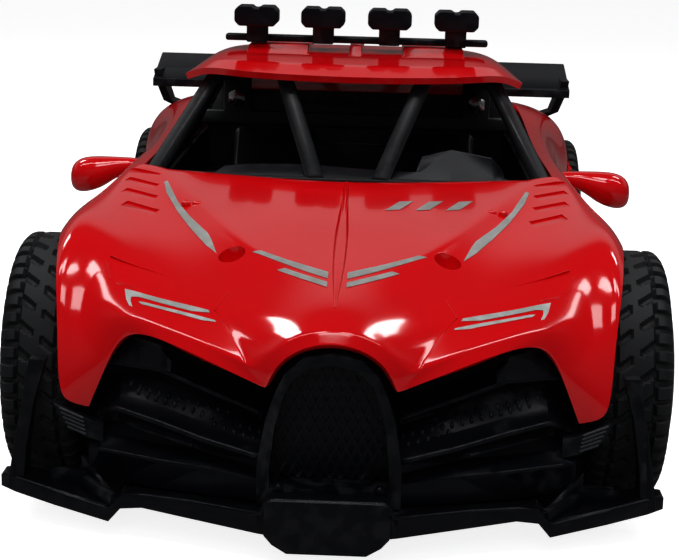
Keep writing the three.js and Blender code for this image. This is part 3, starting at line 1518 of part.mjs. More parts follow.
function sideSkirt(side) {
  const inner = panHalfWidth + fitGap;
  const outer = acrossAt(skirtAcrossShare);
  const low = panFloor[0];
  const high = upAt(skirtTopShare);
  const outline = [
    [inner, low],
    [outer - skirtChamfer / 2, low],
    [outer, low + skirtChamfer / 2],
    [outer, low + skirtChamfer],
    [outer - skirtChamfer, high],
    [inner, high],
  ].map(([x, z]) => [side * x, z]);
  const body = frontOutline(outline, skirtAlongShares.map(alongAt));
  return piece(`side_skirt_${sideNames.get(side)}`, body, blackSatin);
}

// Everything in its place
const car = new THREE.Group();
car.add(
  bodyShell([-1, 1].flatMap((side) => [mirrorBody(side, fitGap), wingPlateBody(side, fitGap)])),
  roofPanel(),
  roofBar(),
  cabinFrame(),
  rearWing(),
  chassisPan(),
  motorCase(),
  motorCover(),
  cabinTray(),
  dashboard(),
  steeringWheel(),
  frontBumper(),
  frontSplitter(),
  tailBumper(),
  seatBody("seat_left", -1),
  seatBody("seat_right", 1),
  wheelset("front", frontAxleY),
  wheelset("rear", rearAxleY).add(axlePinion()),
);
for (let i = 0; i < lampCount; i += 1) car.add(lamp(i));
for (const side of sideNames.keys()) car.add(doorMirror(side), sideSkirt(side));

function onShaft(y, ...meshes) {
  const shaft = new THREE.Group();
  shaft.position.set(0, y, axleZ);
  shaft.add(...meshes);
  car.add(shaft);
}
onShaft(idlerY, motorShaft("idler_shaft"), idlerGear());
onShaft(barrelY, motorShaft("drum_shaft"), springDrum(), mainspring());

// Screws: where each pair sits, and which way its head looks
const motorEarTop = motorZ[0] + motorEar.height;
const headUp = 0;
const headDown = halfTurn;
const headForward = quarterTurn;
const screwPairs = [
  ["bonnet", bonnetBoss.x, bonnetBoss.y, bonnetBoss.floor + fitGap, headUp],
  ["deck", deckBoss.x, deckBoss.y, deckScrewZ - fitGap, headDown],
  ["tray", trayPost.x, trayPost.front, trayFloorZ, headUp],
  ["motor", motorEar.x, motor.front - motorEar.reach / 2, motorEarTop + fitGap, headUp],
  ["cabin", bulkhead.x, bulkhead.y - fitGap, bulkhead.z, headForward],
];
for (const [place, x, y, z, facing] of screwPairs) {
  for (const [side, name] of sideNames) {
    const mesh = screw(`${place}_screw_${name}`, screwLength[place]);
    mesh.position.set(side * x, y, z);
    mesh.rotation.x = facing;
    car.add(mesh);
  }
}

export default car;
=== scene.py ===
# %% [markdown]
# A pull back toy car: a glossy red moulded body over black plastic, with an open cabin and large
# treaded tyres. The solid model of every part comes first. One could model the whole car in Blender
# alone, but then nothing would say where an axle or a seat belongs. So the solids are loaded as a
# fixed frame, and each piece made here sits in the place that the frame gives it and rides on the
# body that carries it.

# %% Load the frame
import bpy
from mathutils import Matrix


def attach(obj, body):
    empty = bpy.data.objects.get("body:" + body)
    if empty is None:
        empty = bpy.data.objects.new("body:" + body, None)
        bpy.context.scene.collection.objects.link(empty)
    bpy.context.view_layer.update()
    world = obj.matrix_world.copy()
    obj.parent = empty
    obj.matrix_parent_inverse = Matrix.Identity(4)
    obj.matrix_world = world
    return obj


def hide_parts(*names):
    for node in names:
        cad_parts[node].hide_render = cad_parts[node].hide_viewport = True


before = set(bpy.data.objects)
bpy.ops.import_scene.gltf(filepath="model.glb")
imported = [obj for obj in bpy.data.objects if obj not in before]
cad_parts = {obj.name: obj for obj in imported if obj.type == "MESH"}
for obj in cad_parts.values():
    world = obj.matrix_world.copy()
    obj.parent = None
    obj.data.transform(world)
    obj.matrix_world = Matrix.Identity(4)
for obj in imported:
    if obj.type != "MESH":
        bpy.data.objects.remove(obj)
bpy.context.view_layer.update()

import math

import bmesh
import bpy
from mathutils import Matrix, Quaternion, Vector
from mathutils.bvhtree import BVHTree

MM = 0.001
SIDES = {"left": -1, "right": 1}

# %% [markdown]
# The photograph looks at the nose from a little above, with a long lens. A camera can be aimed by
# a target, but here its turn, tilt and roll were found by matching points of the car, so the three
# directions of the camera are written as a matrix.

# %% Camera at the photograph's angle
CAMERA_PLACE = Vector((7.09, -356.97, 100.82)) * MM
CAMERA_TURN = math.radians(-1.47)
CAMERA_TILT = math.radians(12.9)
CAMERA_ROLL = math.radians(1.56)
CAMERA_LENS = 87.1

forward = Vector((
    math.sin(CAMERA_TURN) * math.cos(CAMERA_TILT),
    math.cos(CAMERA_TURN) * math.cos(CAMERA_TILT),
    -math.sin(CAMERA_TILT),
))
level = Vector((math.cos(CAMERA_TURN), -math.sin(CAMERA_TURN), 0))
upright = level.cross(forward)
camera_x = math.cos(CAMERA_ROLL) * level + math.sin(CAMERA_ROLL) * upright
camera_y = -math.sin(CAMERA_ROLL) * level + math.cos(CAMERA_ROLL) * upright
camera = bpy.data.objects.new("camera", bpy.data.cameras.new("camera"))
camera.data.lens = CAMERA_LENS
camera.data.clip_start = 0.01
camera.matrix_world = Matrix.Translation(CAMERA_PLACE) @ Matrix(
    (camera_x, camera_y, -forward)
).transposed().to_4x4()
bpy.context.scene.collection.objects.link(camera)
bpy.context.scene.camera = camera
print("camera looks along", [round(v, 3) for v in forward])

# %% [markdown]
# Pieces are written in millimetres, as they would be measured with a caliper, and turned into
# Blender's metres when a mesh is made. Modifiers could stay live on the piece, but they are settled
# into the mesh at once, so that what is measured is the real shape.

# %% Helpers that make meshes
def linked(name, mesh):
    """A new piece in the scene, from a mesh."""
    piece = bpy.data.objects.new(name, mesh)
    bpy.context.scene.collection.objects.link(piece)
    return piece


def from_points(name, points, faces):
    """A piece from points in millimetres."""
    mesh = bpy.data.meshes.new(name)
    mesh.from_pydata([Vector(point) * MM for point in points], [], faces)
    tidy = bmesh.new()
    tidy.from_mesh(mesh)
    bmesh.ops.recalc_face_normals(tidy, faces=tidy.faces)
    tidy.to_mesh(mesh)
    tidy.free()
    return linked(name, mesh)


def settle(piece):
    """Works the modifiers into the mesh."""
    graph = bpy.context.evaluated_depsgraph_get()
    graph.update()
    made = bpy.data.meshes.new_from_object(piece.evaluated_get(graph), depsgraph=graph)
    piece.modifiers.clear()
    piece.data = made
    return piece


def smooth(piece, angle=32):
    """Shades smoothly, with hard edges where faces meet at more than the angle."""
    for face in piece.data.polygons:
        face.use_smooth = True
    piece.data.set_sharp_from_angle(angle=math.radians(angle))
    return piece


print("one mm is", MM, "of Blender's metres")


# %% [markdown]
# No moulded edge is sharp: a mould is cut with small rounds so that the plastic fills it and comes
# free. A bevel modifier rounds every edge above an angle in one go, which is surer than picking
# edges by hand. Booleans join and cut pieces as glue and a drill would.

# %% Helpers that round, join and finish pieces
def bevelled(piece, width, segments=2, angle=30, harden=True):
    """Small rounds on every edge that is sharper than the angle."""
    bevel = piece.modifiers.new("rounds", "BEVEL")
    bevel.width = width * MM
    bevel.segments = segments
    bevel.limit_method = "ANGLE"
    bevel.angle_limit = math.radians(angle)
    bevel.harden_normals = harden
    for face in piece.data.polygons:
        face.use_smooth = True
    return settle(piece)


def combined(base, tools, operation):
    """Unites or cuts closed meshes, and clears the tools away."""
    for tool in tools:
        step = base.modifiers.new(operation, "BOOLEAN")
        step.operation = operation
        step.solver = "MANIFOLD"
        step.object = tool
    settle(base)
    for tool in tools:
        bpy.data.objects.remove(tool)
    return base


def finished(piece, body, slot, material, *nodes):
    """Gives a piece its material and its body, and hides the frame's nodes that it stands for."""
    piece.data.materials.clear()
    piece.data.materials.append(material)
    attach(piece, body)
    if nodes:
        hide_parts(*nodes)
    return piece


# %% [markdown]
# Most of the car's trim is a bar, a tube or a turned ring. Blender has ready primitives for these,
# but a list of points keeps every length in one place and gives closed meshes that the booleans
# can trust. A tube's rings are carried along its path without twisting.

# %% Helpers for bars and tubes
def box_points(low, high):
    """The eight corners between two opposite ones."""
    xs, ys, zs = zip(low, high)
    return [(x, y, z) for x in xs for y in ys for z in zs]


BOX_FACES = [(0, 1, 3, 2), (4, 6, 7, 5), (0, 4, 5, 1), (2, 3, 7, 6), (0, 2, 6, 4), (1, 5, 7, 3)]


def bar(name, low, high):
    """A straight bar between two opposite corners."""
    return from_points(name, box_points(low, high), BOX_FACES)


def tube_points(path, radius, sides, flat=1.0):
    """Rings round a path, kept from twisting, with both ends closed. Flat squashes the section."""
    path = [Vector(point) for point in path]
    points, faces = [], []
    side = None
    for i, place in enumerate(path):
        ahead = (path[min(i + 1, len(path) - 1)] - path[max(i - 1, 0)]).normalized()
        if side is None:
            side = ahead.cross(Vector((0, 0, 1)))
            side = side if side.length > 0.1 else ahead.cross(Vector((0, 1, 0)))
        side = (side - ahead * side.dot(ahead)).normalized()
        rise = ahead.cross(side)
        for k in range(sides):
            turn = 2 * math.pi * (k + 0.5) / sides
            spread = side * math.cos(turn) + rise * math.sin(turn) * flat
            points.append(place + spread * radius)
    for i in range(len(path) - 1):
        for k in range(sides):
            a, b = i * sides + k, i * sides + (k + 1) % sides
            faces.append((a, b, b + sides, a + sides))
    last = (len(path) - 1) * sides
    faces.append(tuple(range(sides)))
    faces.append(tuple(last + k for k in reversed(range(sides))))
    return points, faces


def tube(name, path, radius, sides=16, flat=1.0):
    """A closed tube along a path."""
    return from_points(name, *tube_points(path, radius, sides, flat))


def gathered(name, shapes):
    """One mesh from several lists of points and faces."""
    points, faces = [], []
    for some_points, some_faces in shapes:
        start = len(points)
        points += list(some_points)
        faces += [tuple(start + corner for corner in face) for face in some_faces]
    return from_points(name, points, faces)


print("faces of a bar", len(BOX_FACES))


# %% [markdown]
# Wheels are turned shapes: a profile goes once round the axle. Parts whose solid is already right
# are copied from the frame, cleaned of the triangles' inner edges and given rounded edges.

# %% Helpers for turned shapes and copies
WELD_DISTANCE, FLAT_WITHIN = 0.002, 1


def turned_x(profile, sides, centre=(0, 0, 0)):
    """Points (radius, x) turned about the x axis; a closed profile gives a closed ring."""
    cx, cy, cz = centre
    points, faces = [], []
    for k in range(sides):
        turn = 2 * math.pi * k / sides
        points += [
            (cx + along, cy + radius * math.cos(turn), cz + radius * math.sin(turn))
            for radius, along in profile
        ]
    count = len(profile)
    for k in range(sides):
        for i in range(count):
            a, b = k * count + i, k * count + (i + 1) % count
            c, d = ((k + 1) % sides) * count + (i + 1) % count, ((k + 1) % sides) * count + i
            faces.append((a, b, c, d))
    return points, faces


def moulded_copy(node, width, segments=2, angle=30):
    """The frame's own shape of a node with its edges rounded, as moulded plastic has them."""
    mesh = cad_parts[node].data.copy()
    mesh.materials.clear()
    tidy = bmesh.new()
    tidy.from_mesh(mesh)
    bmesh.ops.remove_doubles(tidy, verts=tidy.verts, dist=WELD_DISTANCE * MM)
    bmesh.ops.dissolve_limit(
        tidy, angle_limit=math.radians(FLAT_WITHIN), verts=tidy.verts, edges=tidy.edges
    )
    tidy.to_mesh(mesh)
    tidy.free()
    return bevelled(linked(node + "_moulded", mesh), width, segments, angle)


print("solids that can be copied", len(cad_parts))

# %% [markdown]
# The finishes share a few effects: the fine grain of a mould, rubbed edges, hair scratches and
# dust. Each could be drawn anew in every material, but then one change would have to be made many
# times. So each effect is one node group with named inputs, placed in each material with its own
# values. It puts out a mask or a height, and the shader stays in the material.

# %% Helpers for node groups
def effect(name, inputs):
    """A node group with its named number inputs, ready to be filled."""
    group = bpy.data.node_groups.new(name, "ShaderNodeTree")
    for label, value in inputs.items():
        socket = group.interface.new_socket(label, in_out="INPUT", socket_type="NodeSocketFloat")
        socket.default_value = value
    start = group.nodes.new("NodeGroupInput")
    end = group.nodes.new("NodeGroupOutput")
    return group, start, end


def output_of(group, label, kind="NodeSocketFloat"):
    group.interface.new_socket(label, in_out="OUTPUT", socket_type=kind)


def place_noise(group, start, scale_socket, detail, stretch=(1, 1, 1)):
    """Noise that stays with the piece, at the scale of one of the group's inputs."""
    place = group.nodes.new("ShaderNodeTexCoord")
    stretched = group.nodes.new("ShaderNodeMapping")
    stretched.inputs["Scale"].default_value = stretch
    noise = group.nodes.new("ShaderNodeTexNoise")
    noise.inputs["Detail"].default_value = detail
    group.links.new(place.outputs["Object"], stretched.inputs["Vector"])
    group.links.new(stretched.outputs["Vector"], noise.inputs["Vector"])
    group.links.new(start.outputs[scale_socket], noise.inputs["Scale"])
    return noise


def stepped(group, value, low, high, to_low=0.0, to_high=1.0):
    """A soft step of a value between two limits."""
    ramp = group.nodes.new("ShaderNodeMapRange")
    ramp.interpolation_type = "SMOOTHSTEP"
    ramp.inputs["From Min"].default_value = low
    ramp.inputs["From Max"].default_value = high
    ramp.inputs["To Min"].default_value = to_low
    ramp.inputs["To Max"].default_value = to_high
    group.links.new(value, ramp.inputs["Value"])
    return ramp.outputs["Result"]


def times(group, first, second):
    product = group.nodes.new("ShaderNodeMath")
    product.operation = "MULTIPLY"
    group.links.new(first, product.inputs[0])
    group.links.new(second, product.inputs[1])
    return product.outputs["Value"]


print("effects so far", len(bpy.data.node_groups))


# %% [markdown]
# A mould's steel is etched or blasted, and the plastic takes up its fine grain, with broad mottles
# where the plastic cooled at its own pace. Edges are the first to be rubbed by hands, and
# Pointiness finds them, as it finds the hollows where dust settles. The paler tone laid on those
# edges is partly real wear and partly a painted highlight, the thin line of light a sharp edge
# catches.

# %% Effects: grain, and rubbed edges with a painted highlight
def make_grain():
    group, start, end = effect("Mould grain", {"Scale": 2500.0, "Mottle Scale": 60.0})
    output_of(group, "Height")
    output_of(group, "Mottle")
    fine = place_noise(group, start, "Scale", 3)
    broad = place_noise(group, start, "Mottle Scale", 4)
    group.links.new(fine.outputs["Fac"], end.inputs["Height"])
    group.links.new(stepped(group, broad.outputs["Fac"], 0.3, 0.7), end.inputs["Mottle"])
    return group


# The edge mask lays a paler tone on edges: partly rubbed wear, partly a painted highlight.
def make_edge_wear_and_highlight():
    group, start, end = effect("Rubbed and highlit edges", {"Amount": 1.0, "Scale": 300.0})
    output_of(group, "Mask")
    geometry = group.nodes.new("ShaderNodeNewGeometry")
    edge = stepped(group, geometry.outputs["Pointiness"], 0.515, 0.6)
    patchy = stepped(group, place_noise(group, start, "Scale", 5).outputs["Fac"], 0.42, 0.62)
    mask = times(group, times(group, edge, patchy), start.outputs["Amount"])
    group.links.new(mask, end.inputs["Mask"])
    return group


GRAIN = make_grain()
EDGE_WEAR_AND_HIGHLIGHT = make_edge_wear_and_highlight()
print("effects", GRAIN.name, "and", EDGE_WEAR_AND_HIGHLIGHT.name)


# %% [markdown]
# Hair scratches are thin lines that run in two main ways. A picture of scratches would be quick,
# but it repeats. Here a stretched noise is folded by a ping-pong, and only a thin line of each
# fold is kept. Dust takes the hollows, in patches.

# %% Effects: hair scratches and dust
HAIR_FOLD, HAIR_THIN = 0.08, 0.012


def make_scratches():
    group, start, end = effect("Hair scratches", {"Amount": 1.0, "Scale": 90.0})
    output_of(group, "Mask")
    lines = []
    for stretch in ((1, 14, 5), (11, 1, 6)):
        noise = place_noise(group, start, "Scale", 2, stretch)
        band = group.nodes.new("ShaderNodeMath")
        band.operation = "PINGPONG"
        band.inputs[1].default_value = HAIR_FOLD
        group.links.new(noise.outputs["Fac"], band.inputs[0])
        lines.append(stepped(group, band.outputs["Value"], 0.0, HAIR_THIN, 1.0, 0.0))
    either = group.nodes.new("ShaderNodeMath")
    either.operation = "MAXIMUM"
    group.links.new(lines[0], either.inputs[0])
    group.links.new(lines[1], either.inputs[1])
    faint = stepped(group, place_noise(group, start, "Scale", 3).outputs["Fac"], 0.5, 0.75)
    mask = times(group, times(group, either.outputs["Value"], faint), start.outputs["Amount"])
    group.links.new(mask, end.inputs["Mask"])
    return group


def make_dust():
    group, start, end = effect("Settled dust", {"Amount": 0.3, "Scale": 400.0})
    output_of(group, "Mask")
    geometry = group.nodes.new("ShaderNodeNewGeometry")
    hollow = stepped(group, geometry.outputs["Pointiness"], 0.4, 0.5, 1.0, 0.0)
    patchy = stepped(group, place_noise(group, start, "Scale", 6).outputs["Fac"], 0.35, 0.7)
    mask = times(group, times(group, hollow, patchy), start.outputs["Amount"])
    group.links.new(mask, end.inputs["Mask"])
    return group


SCRATCHES = make_scratches()
DUST = make_dust()
print("effects", SCRATCHES.name, "and", DUST.name)


# %% [markdown]
# Three small helpers save many lines in the materials: one places an effect with its own values,
# one blends two colours by a mask, and one adds up masks, each times its share. They are written
# once, as a painter mixes a few base paints and thins them as needed.

# %% Helpers for materials
def placed(material, group, **values):
    """An effect set in a material, with this finish's own values."""
    node = material.node_tree.nodes.new("ShaderNodeGroup")
    node.node_tree = group
    for label, value in values.items():
        node.inputs[label.replace("_", " ")].default_value = value
    return node


def blended(tree, mask, first, second):
    """A colour that goes from first to second with the mask; either may be a socket."""
    mix = tree.nodes.new("ShaderNodeMix")
    mix.data_type = "RGBA"
    tree.links.new(mask, mix.inputs["Factor"])
    for socket, colour in ((mix.inputs[6], first), (mix.inputs[7], second)):
        if isinstance(colour, tuple):
            socket.default_value = (*colour, 1)
        else:
            tree.links.new(colour, socket)
    return mix.outputs[2]


def summed(tree, base, parts):
    """A base number plus each mask times its share."""
    total = None
    for mask, share in parts:
        add = tree.nodes.new("ShaderNodeMath")
        add.operation = "MULTIPLY_ADD"
        tree.links.new(mask, add.inputs[0])
        add.inputs[1].default_value = share
        if total is None:
            add.inputs[2].default_value = base
        else:
            tree.links.new(total, add.inputs[2])
        total = add.outputs["Value"]
    return total


print("masks to place", GRAIN.name, EDGE_WEAR_AND_HIGHLIGHT.name, SCRATCHES.name, DUST.name, sep=", ")


# %% [markdown]
# One function builds every finish: two close tones that mottle, a third for rubbed edges, which is
# also a painted highlight along them, a base roughness that each effect raises a little, and a bump
# for the grain. A maker would name a finish the same way, by its colour, gloss and grain. The
# Principled shader stays in each material.

# %% One function for every finish
MOTTLE_SCALE, WEAR_AND_HIGHLIGHT_SCALE, HAIR_SCALE, DUST_SCALE = 45, 350, 70, 500
ROUGH_MOTTLE, ROUGH_HAIRS, ROUGH_EDGES, ROUGH_DUST = 0.06, 0.25, 0.15, 0.3
GRAIN_HEIGHT, HAIR_DEPTH, BUMP_DISTANCE = 1.0, -0.8, 0.05
DUST_TONE = (0.16, 0.15, 0.14)


def finish(name, colour, shade, worn_and_highlit, roughness, grain=0.1, grain_scale=2500, wear_and_highlight=0.5,
           scratches=0.3, dust=0.2, **sockets):
    """A moulded, painted or metal finish. Shade is its mottled second colour; the third colour goes
    on its rubbed edges and also stands as a painted highlight along them.
    """
    material = bpy.data.materials.new(name)
    material.use_nodes = True
    tree = material.node_tree
    shader = tree.nodes["Principled BSDF"]
    for label, value in sockets.items():
        shader.inputs[label.replace("_", " ")].default_value = value
    mould = placed(material, GRAIN, Scale=grain_scale, Mottle_Scale=MOTTLE_SCALE)
    edges = placed(material, EDGE_WEAR_AND_HIGHLIGHT, Amount=wear_and_highlight, Scale=WEAR_AND_HIGHLIGHT_SCALE)
    hairs = placed(material, SCRATCHES, Amount=scratches, Scale=HAIR_SCALE)
    settled = placed(material, DUST, Amount=dust, Scale=DUST_SCALE)
    tone = blended(tree, mould.outputs["Mottle"], colour, shade)
    # Rubbed edges take the third colour, which is also a painted highlight along thin edges.
    tone = blended(tree, edges.outputs["Mask"], tone, worn_and_highlit)
    tone = blended(tree, settled.outputs["Mask"], tone, DUST_TONE)
    tree.links.new(tone, shader.inputs["Base Color"])
    rough = summed(tree, roughness, [
        (mould.outputs["Mottle"], ROUGH_MOTTLE),
        (hairs.outputs["Mask"], ROUGH_HAIRS),
        (edges.outputs["Mask"], ROUGH_EDGES),
        (settled.outputs["Mask"], ROUGH_DUST),
    ])
    tree.links.new(rough, shader.inputs["Roughness"])
    bump = tree.nodes.new("ShaderNodeBump")
    bump.inputs["Strength"].default_value = grain
    bump.inputs["Distance"].default_value = BUMP_DISTANCE * MM
    height = summed(tree, 0.0, [(mould.outputs["Height"], GRAIN_HEIGHT),
                                (hairs.outputs["Mask"], HAIR_DEPTH)])
    tree.links.new(height, bump.inputs["Height"])
    tree.links.new(bump.outputs["Normal"], shader.inputs["Normal"])
    return material


print("effects in each finish", len(bpy.data.node_groups))

# %% [markdown]
# The body is a self-coloured red plastic with a deep gloss, so it gets a thin clear coat. The black
# parts come from a mould with a satin grain and mirror little, the cage is a shade greyer, and the
# tyres are a dull rubber that holds dust in its grooves.

# %% Plastic and rubber finishes
red_gloss = finish("red gloss", (0.8, 0.005, 0.01), (0.76, 0.004, 0.008), (0.75, 0.1, 0.1),
                   0.08, grain=0.02, grain_scale=900, wear_and_highlight=0.15, scratches=0.1, dust=0.03,
                   Coat_Weight=0.5, Coat_Roughness=0.03)
# Its pale third tone on the rubbed edges is partly a painted highlight, the thin light lines on
# black edges.
black_satin = finish("black satin", (0.0036, 0.0042, 0.0074), (0.0046, 0.0052, 0.0088),
                     (0.06, 0.062, 0.068), 0.36, grain=0.35, wear_and_highlight=0.35, dust=0.12,
                     Specular_IOR_Level=0.3)
grey_satin = finish("grey satin", (0.015, 0.0165, 0.019), (0.02, 0.022, 0.025),
                    (0.09, 0.092, 0.096), 0.42, grain=0.4, wear_and_highlight=0.35, dust=0.12)
rubber = finish("tyre rubber", (0.01, 0.011, 0.013), (0.016, 0.017, 0.019), (0.05, 0.05, 0.052),
                0.62, grain=0.5, grain_scale=1800, wear_and_highlight=0.5, scratches=0.1, dust=0.35)
acetal = finish("white acetal", (0.7, 0.67, 0.6), (0.62, 0.6, 0.54), (0.8, 0.78, 0.72), 0.35,
                grain=0.15, dust=0.3)
tail_lens = finish("tail lens", (0.2, 0.003, 0.005), (0.15, 0.002, 0.004), (0.4, 0.1, 0.1),
                   0.1, grain=0.02, wear_and_highlight=0.1, Coat_Weight=0.8, Coat_Roughness=0.02)
corner_lens = finish("corner lens", (0.035, 0.038, 0.045), (0.028, 0.031, 0.037), (0.1, 0.1, 0.1),
                     0.5, grain=0.1, wear_and_highlight=0.1)
print("plastic and rubber finishes", len(bpy.data.materials))

# %% [markdown]
# Metal is told from plastic by the Metallic value and a brighter rubbed edge. The rims are painted,
# so they are only partly metallic, and the foil marks are a dull printed silver. Screws and shafts
# are plated, and the spring is bare strip with long scratches.

# %% Metal and foil finishes
rim_paint = finish("rim paint", (0.10, 0.104, 0.11), (0.085, 0.09, 0.096), (0.4, 0.4, 0.41),
                   0.3, grain=0.1, grain_scale=4000, wear_and_highlight=0.6, Metallic=0.75)
steel = finish("plated steel", (0.62, 0.63, 0.64), (0.5, 0.51, 0.53), (0.8, 0.8, 0.8), 0.24,
               grain=0.25, scratches=0.8, dust=0.2, Metallic=1.0)
silver_foil = finish("silver foil", (0.44, 0.46, 0.44), (0.4, 0.42, 0.4), (0.6, 0.6, 0.6), 0.34,
                     grain=0.1, scratches=0.5, dust=0.05, Metallic=0.35)
spring_strip = finish("spring strip", (0.35, 0.36, 0.38), (0.26, 0.27, 0.3), (0.6, 0.6, 0.6),
                      0.25, scratches=0.9, dust=0.2, Metallic=1.0)
print("finishes", len(bpy.data.materials))

# %% [markdown]
# The car stands on white paper. Lit paper alone would be grey in the picture and would throw white
# light up into the black nose. So the camera sees it glow a little, while the car's own light rays
# meet it as a darker grey.

# %% Floor
FLOOR_HALF, FLOOR_Z = 2500, -0.3
FLOOR_GLOW, FLOOR_BOUNCE = 0.7, (0.3, 0.3, 0.3)
floor = from_points(
    "floor",
    [(-FLOOR_HALF, -FLOOR_HALF, FLOOR_Z), (FLOOR_HALF, -FLOOR_HALF, FLOOR_Z),
     (FLOOR_HALF, FLOOR_HALF, FLOOR_Z), (-FLOOR_HALF, FLOOR_HALF, FLOOR_Z)],
    [(0, 1, 2, 3)],
)
floor_paper = finish("floor paper", (0.93, 0.93, 0.94), (0.91, 0.91, 0.92), (0.9, 0.9, 0.9), 0.7,
                     grain=0.05, wear_and_highlight=0, scratches=0, dust=0, Emission_Color=(1, 1, 1, 1))
paper_tree = floor_paper.node_tree
paper_shader = paper_tree.nodes["Principled BSDF"]
light_path = paper_tree.nodes.new("ShaderNodeLightPath")
seen_tone = paper_shader.inputs["Base Color"].links[0].from_socket
tone = blended(paper_tree, light_path.outputs["Is Camera Ray"], FLOOR_BOUNCE, seen_tone)
paper_tree.links.new(tone, paper_shader.inputs["Base Color"])
glow = summed(paper_tree, 0.0, [(light_path.outputs["Is Camera Ray"], FLOOR_GLOW)])
paper_tree.links.new(glow, paper_shader.inputs["Emission Strength"])
floor.data.materials.append(floor_paper)
print("floor", 2 * FLOOR_HALF, "mm wide")


# %% [markdown]
# The world is what the gloss mirrors between the lamps. The bonnet is nearly flat and seen at a low
# angle, so it mirrors what stands behind the car, from a little above the floor upwards: there the
# world has a pale band. The side of the photographer and the zenith are dark, which keeps the black
# plastic black. The camera itself sees plain white.

# %% World
def studio_world(front, back, low, zenith):
    """A dark world with one pale band behind the car, above a darker foot."""
    world = bpy.data.worlds.new("studio")
    world.use_nodes = True
    tree = world.node_tree
    background = tree.nodes["Background"]
    place = tree.nodes.new("ShaderNodeTexCoord")
    split = tree.nodes.new("ShaderNodeSeparateXYZ")
    tree.links.new(place.outputs["Generated"], split.inputs["Vector"])
    to_back = stepped(tree, split.outputs["Y"], -0.3, 0.5)
    to_band = stepped(tree, split.outputs["Z"], 0.3, 0.42)
    to_top = stepped(tree, split.outputs["Z"], 0.56, 0.72)
    band_tone = blended(tree, to_band, (low,) * 3, (back,) * 3)
    level_tone = blended(tree, to_back, (front,) * 3, band_tone)
    tone = blended(tree, to_top, level_tone, (zenith,) * 3)
    seen = tree.nodes.new("ShaderNodeLightPath")
    tone = blended(tree, seen.outputs["Is Camera Ray"], tone, (1.0,) * 3)
    tree.links.new(tone, background.inputs["Color"])
    return world


bpy.context.scene.world = studio_world(front=0.06, back=0.3, low=0.08, zenith=0.05)
bpy.context.scene.view_settings.view_transform = "Standard"
bpy.context.scene.view_settings.look = "Medium High Contrast"
print("world", bpy.context.scene.world.name)

# %% [markdown]
# Each lamp is placed for a patch of light that the gloss shows. The way to aim it is to mirror the
# line of sight at the patch. Two boxes behind the car draw the patches on the nose, two nearly
# overhead and two long strips at the sides draw those on the crests of the wings, and a broad key
# above the nose lights the bonnet. A wide fill from the front is not mirrored: it lifts the red and
# the grille without laying a grey veil on them.

# %% Lights
LIGHT_DISTANCE = 600
LIGHT_TARGET = Vector((0, -60, 30))


def soft_box(name, turn, rise, width, height, radiance, roll=0, mirrored=True):
    """A rectangular lamp. Turn is from the front towards the right, rise from the floor, and
    one that is not mirrored lights the car without showing in its gloss."""
    turn, rise = math.radians(turn), math.radians(rise)
    light = bpy.data.lights.new(name, "AREA")
    light.shape = "RECTANGLE"
    light.size = width * MM
    light.size_y = height * MM
    light.energy = radiance * math.pi * light.size * light.size_y
    lamp = bpy.data.objects.new(name, light)
    away = Vector((math.sin(turn) * math.cos(rise), -math.cos(turn) * math.cos(rise),
                   math.sin(rise)))
    lamp.location = (LIGHT_TARGET + away * LIGHT_DISTANCE) * MM
    rolled = Quaternion((0, 0, 1), math.radians(roll))
    lamp.rotation_euler = ((-away).to_track_quat("-Z", "Y") @ rolled).to_euler()
    lamp.visible_glossy = mirrored
    bpy.context.scene.collection.objects.link(lamp)


soft_box("box_left", -134, 44.5, 120, 75, 10, roll=-18)
soft_box("box_right", 137, 49.5, 120, 58, 10, roll=4)
soft_box("over_left", -85, 79, 110, 110, 8)
soft_box("over_right", 80, 80, 110, 110, 8)
soft_box("strip_left", -93, 60, 50, 260, 7)
soft_box("strip_right", 87, 60, 50, 260, 7)
soft_box("front_key", 0, 66, 260, 150, 4.5)
soft_box("fill_front", 0, 28, 600, 400, 1.0, mirrored=False)
print("lamps", len(bpy.data.lights))

# %% [markdown]
# The body shell is one thin moulding. It could be carved from a block, but facets would break the
# long highlights. So it is drawn as a coarse cage of four-sided faces, whose rows run from the
# middle line over the wing to the lower edge. Each place is a share of half the width, the
# wheelbase and the height of the shell, so the cage keeps its form when a length changes.

# %% Body shell: places from shares
HALF_WIDTH, WHEELBASE, HEIGHT, FRONT_AXLE, REAR_AXLE = 50.0, 140.0, 50.0, -76.0, 64.0
ARCH_RADIUS, ARCH_Z = 24.2, 21.0


def at_share(across, along, up):
    return Vector((across * HALF_WIDTH, FRONT_AXLE + along * WHEELBASE, up * HEIGHT))


def on_arch(axle, across, turn):
    angle = math.pi * turn
    return Vector((across * HALF_WIDTH, axle - ARCH_RADIUS * math.cos(angle),
                   ARCH_Z + ARCH_RADIUS * math.sin(angle)))


print("front of the shell", [round(v, 1) for v in at_share(0, -0.264, 0.7)])

# %% [markdown]
# The nose takes nine rows from the grille to the windscreen. Its first rows hold the brow over the
# grille and the notch beside it, the middle ones the two folds of the bonnet, and the outer places
# the crest of the wing and the edge of the wheel arch.

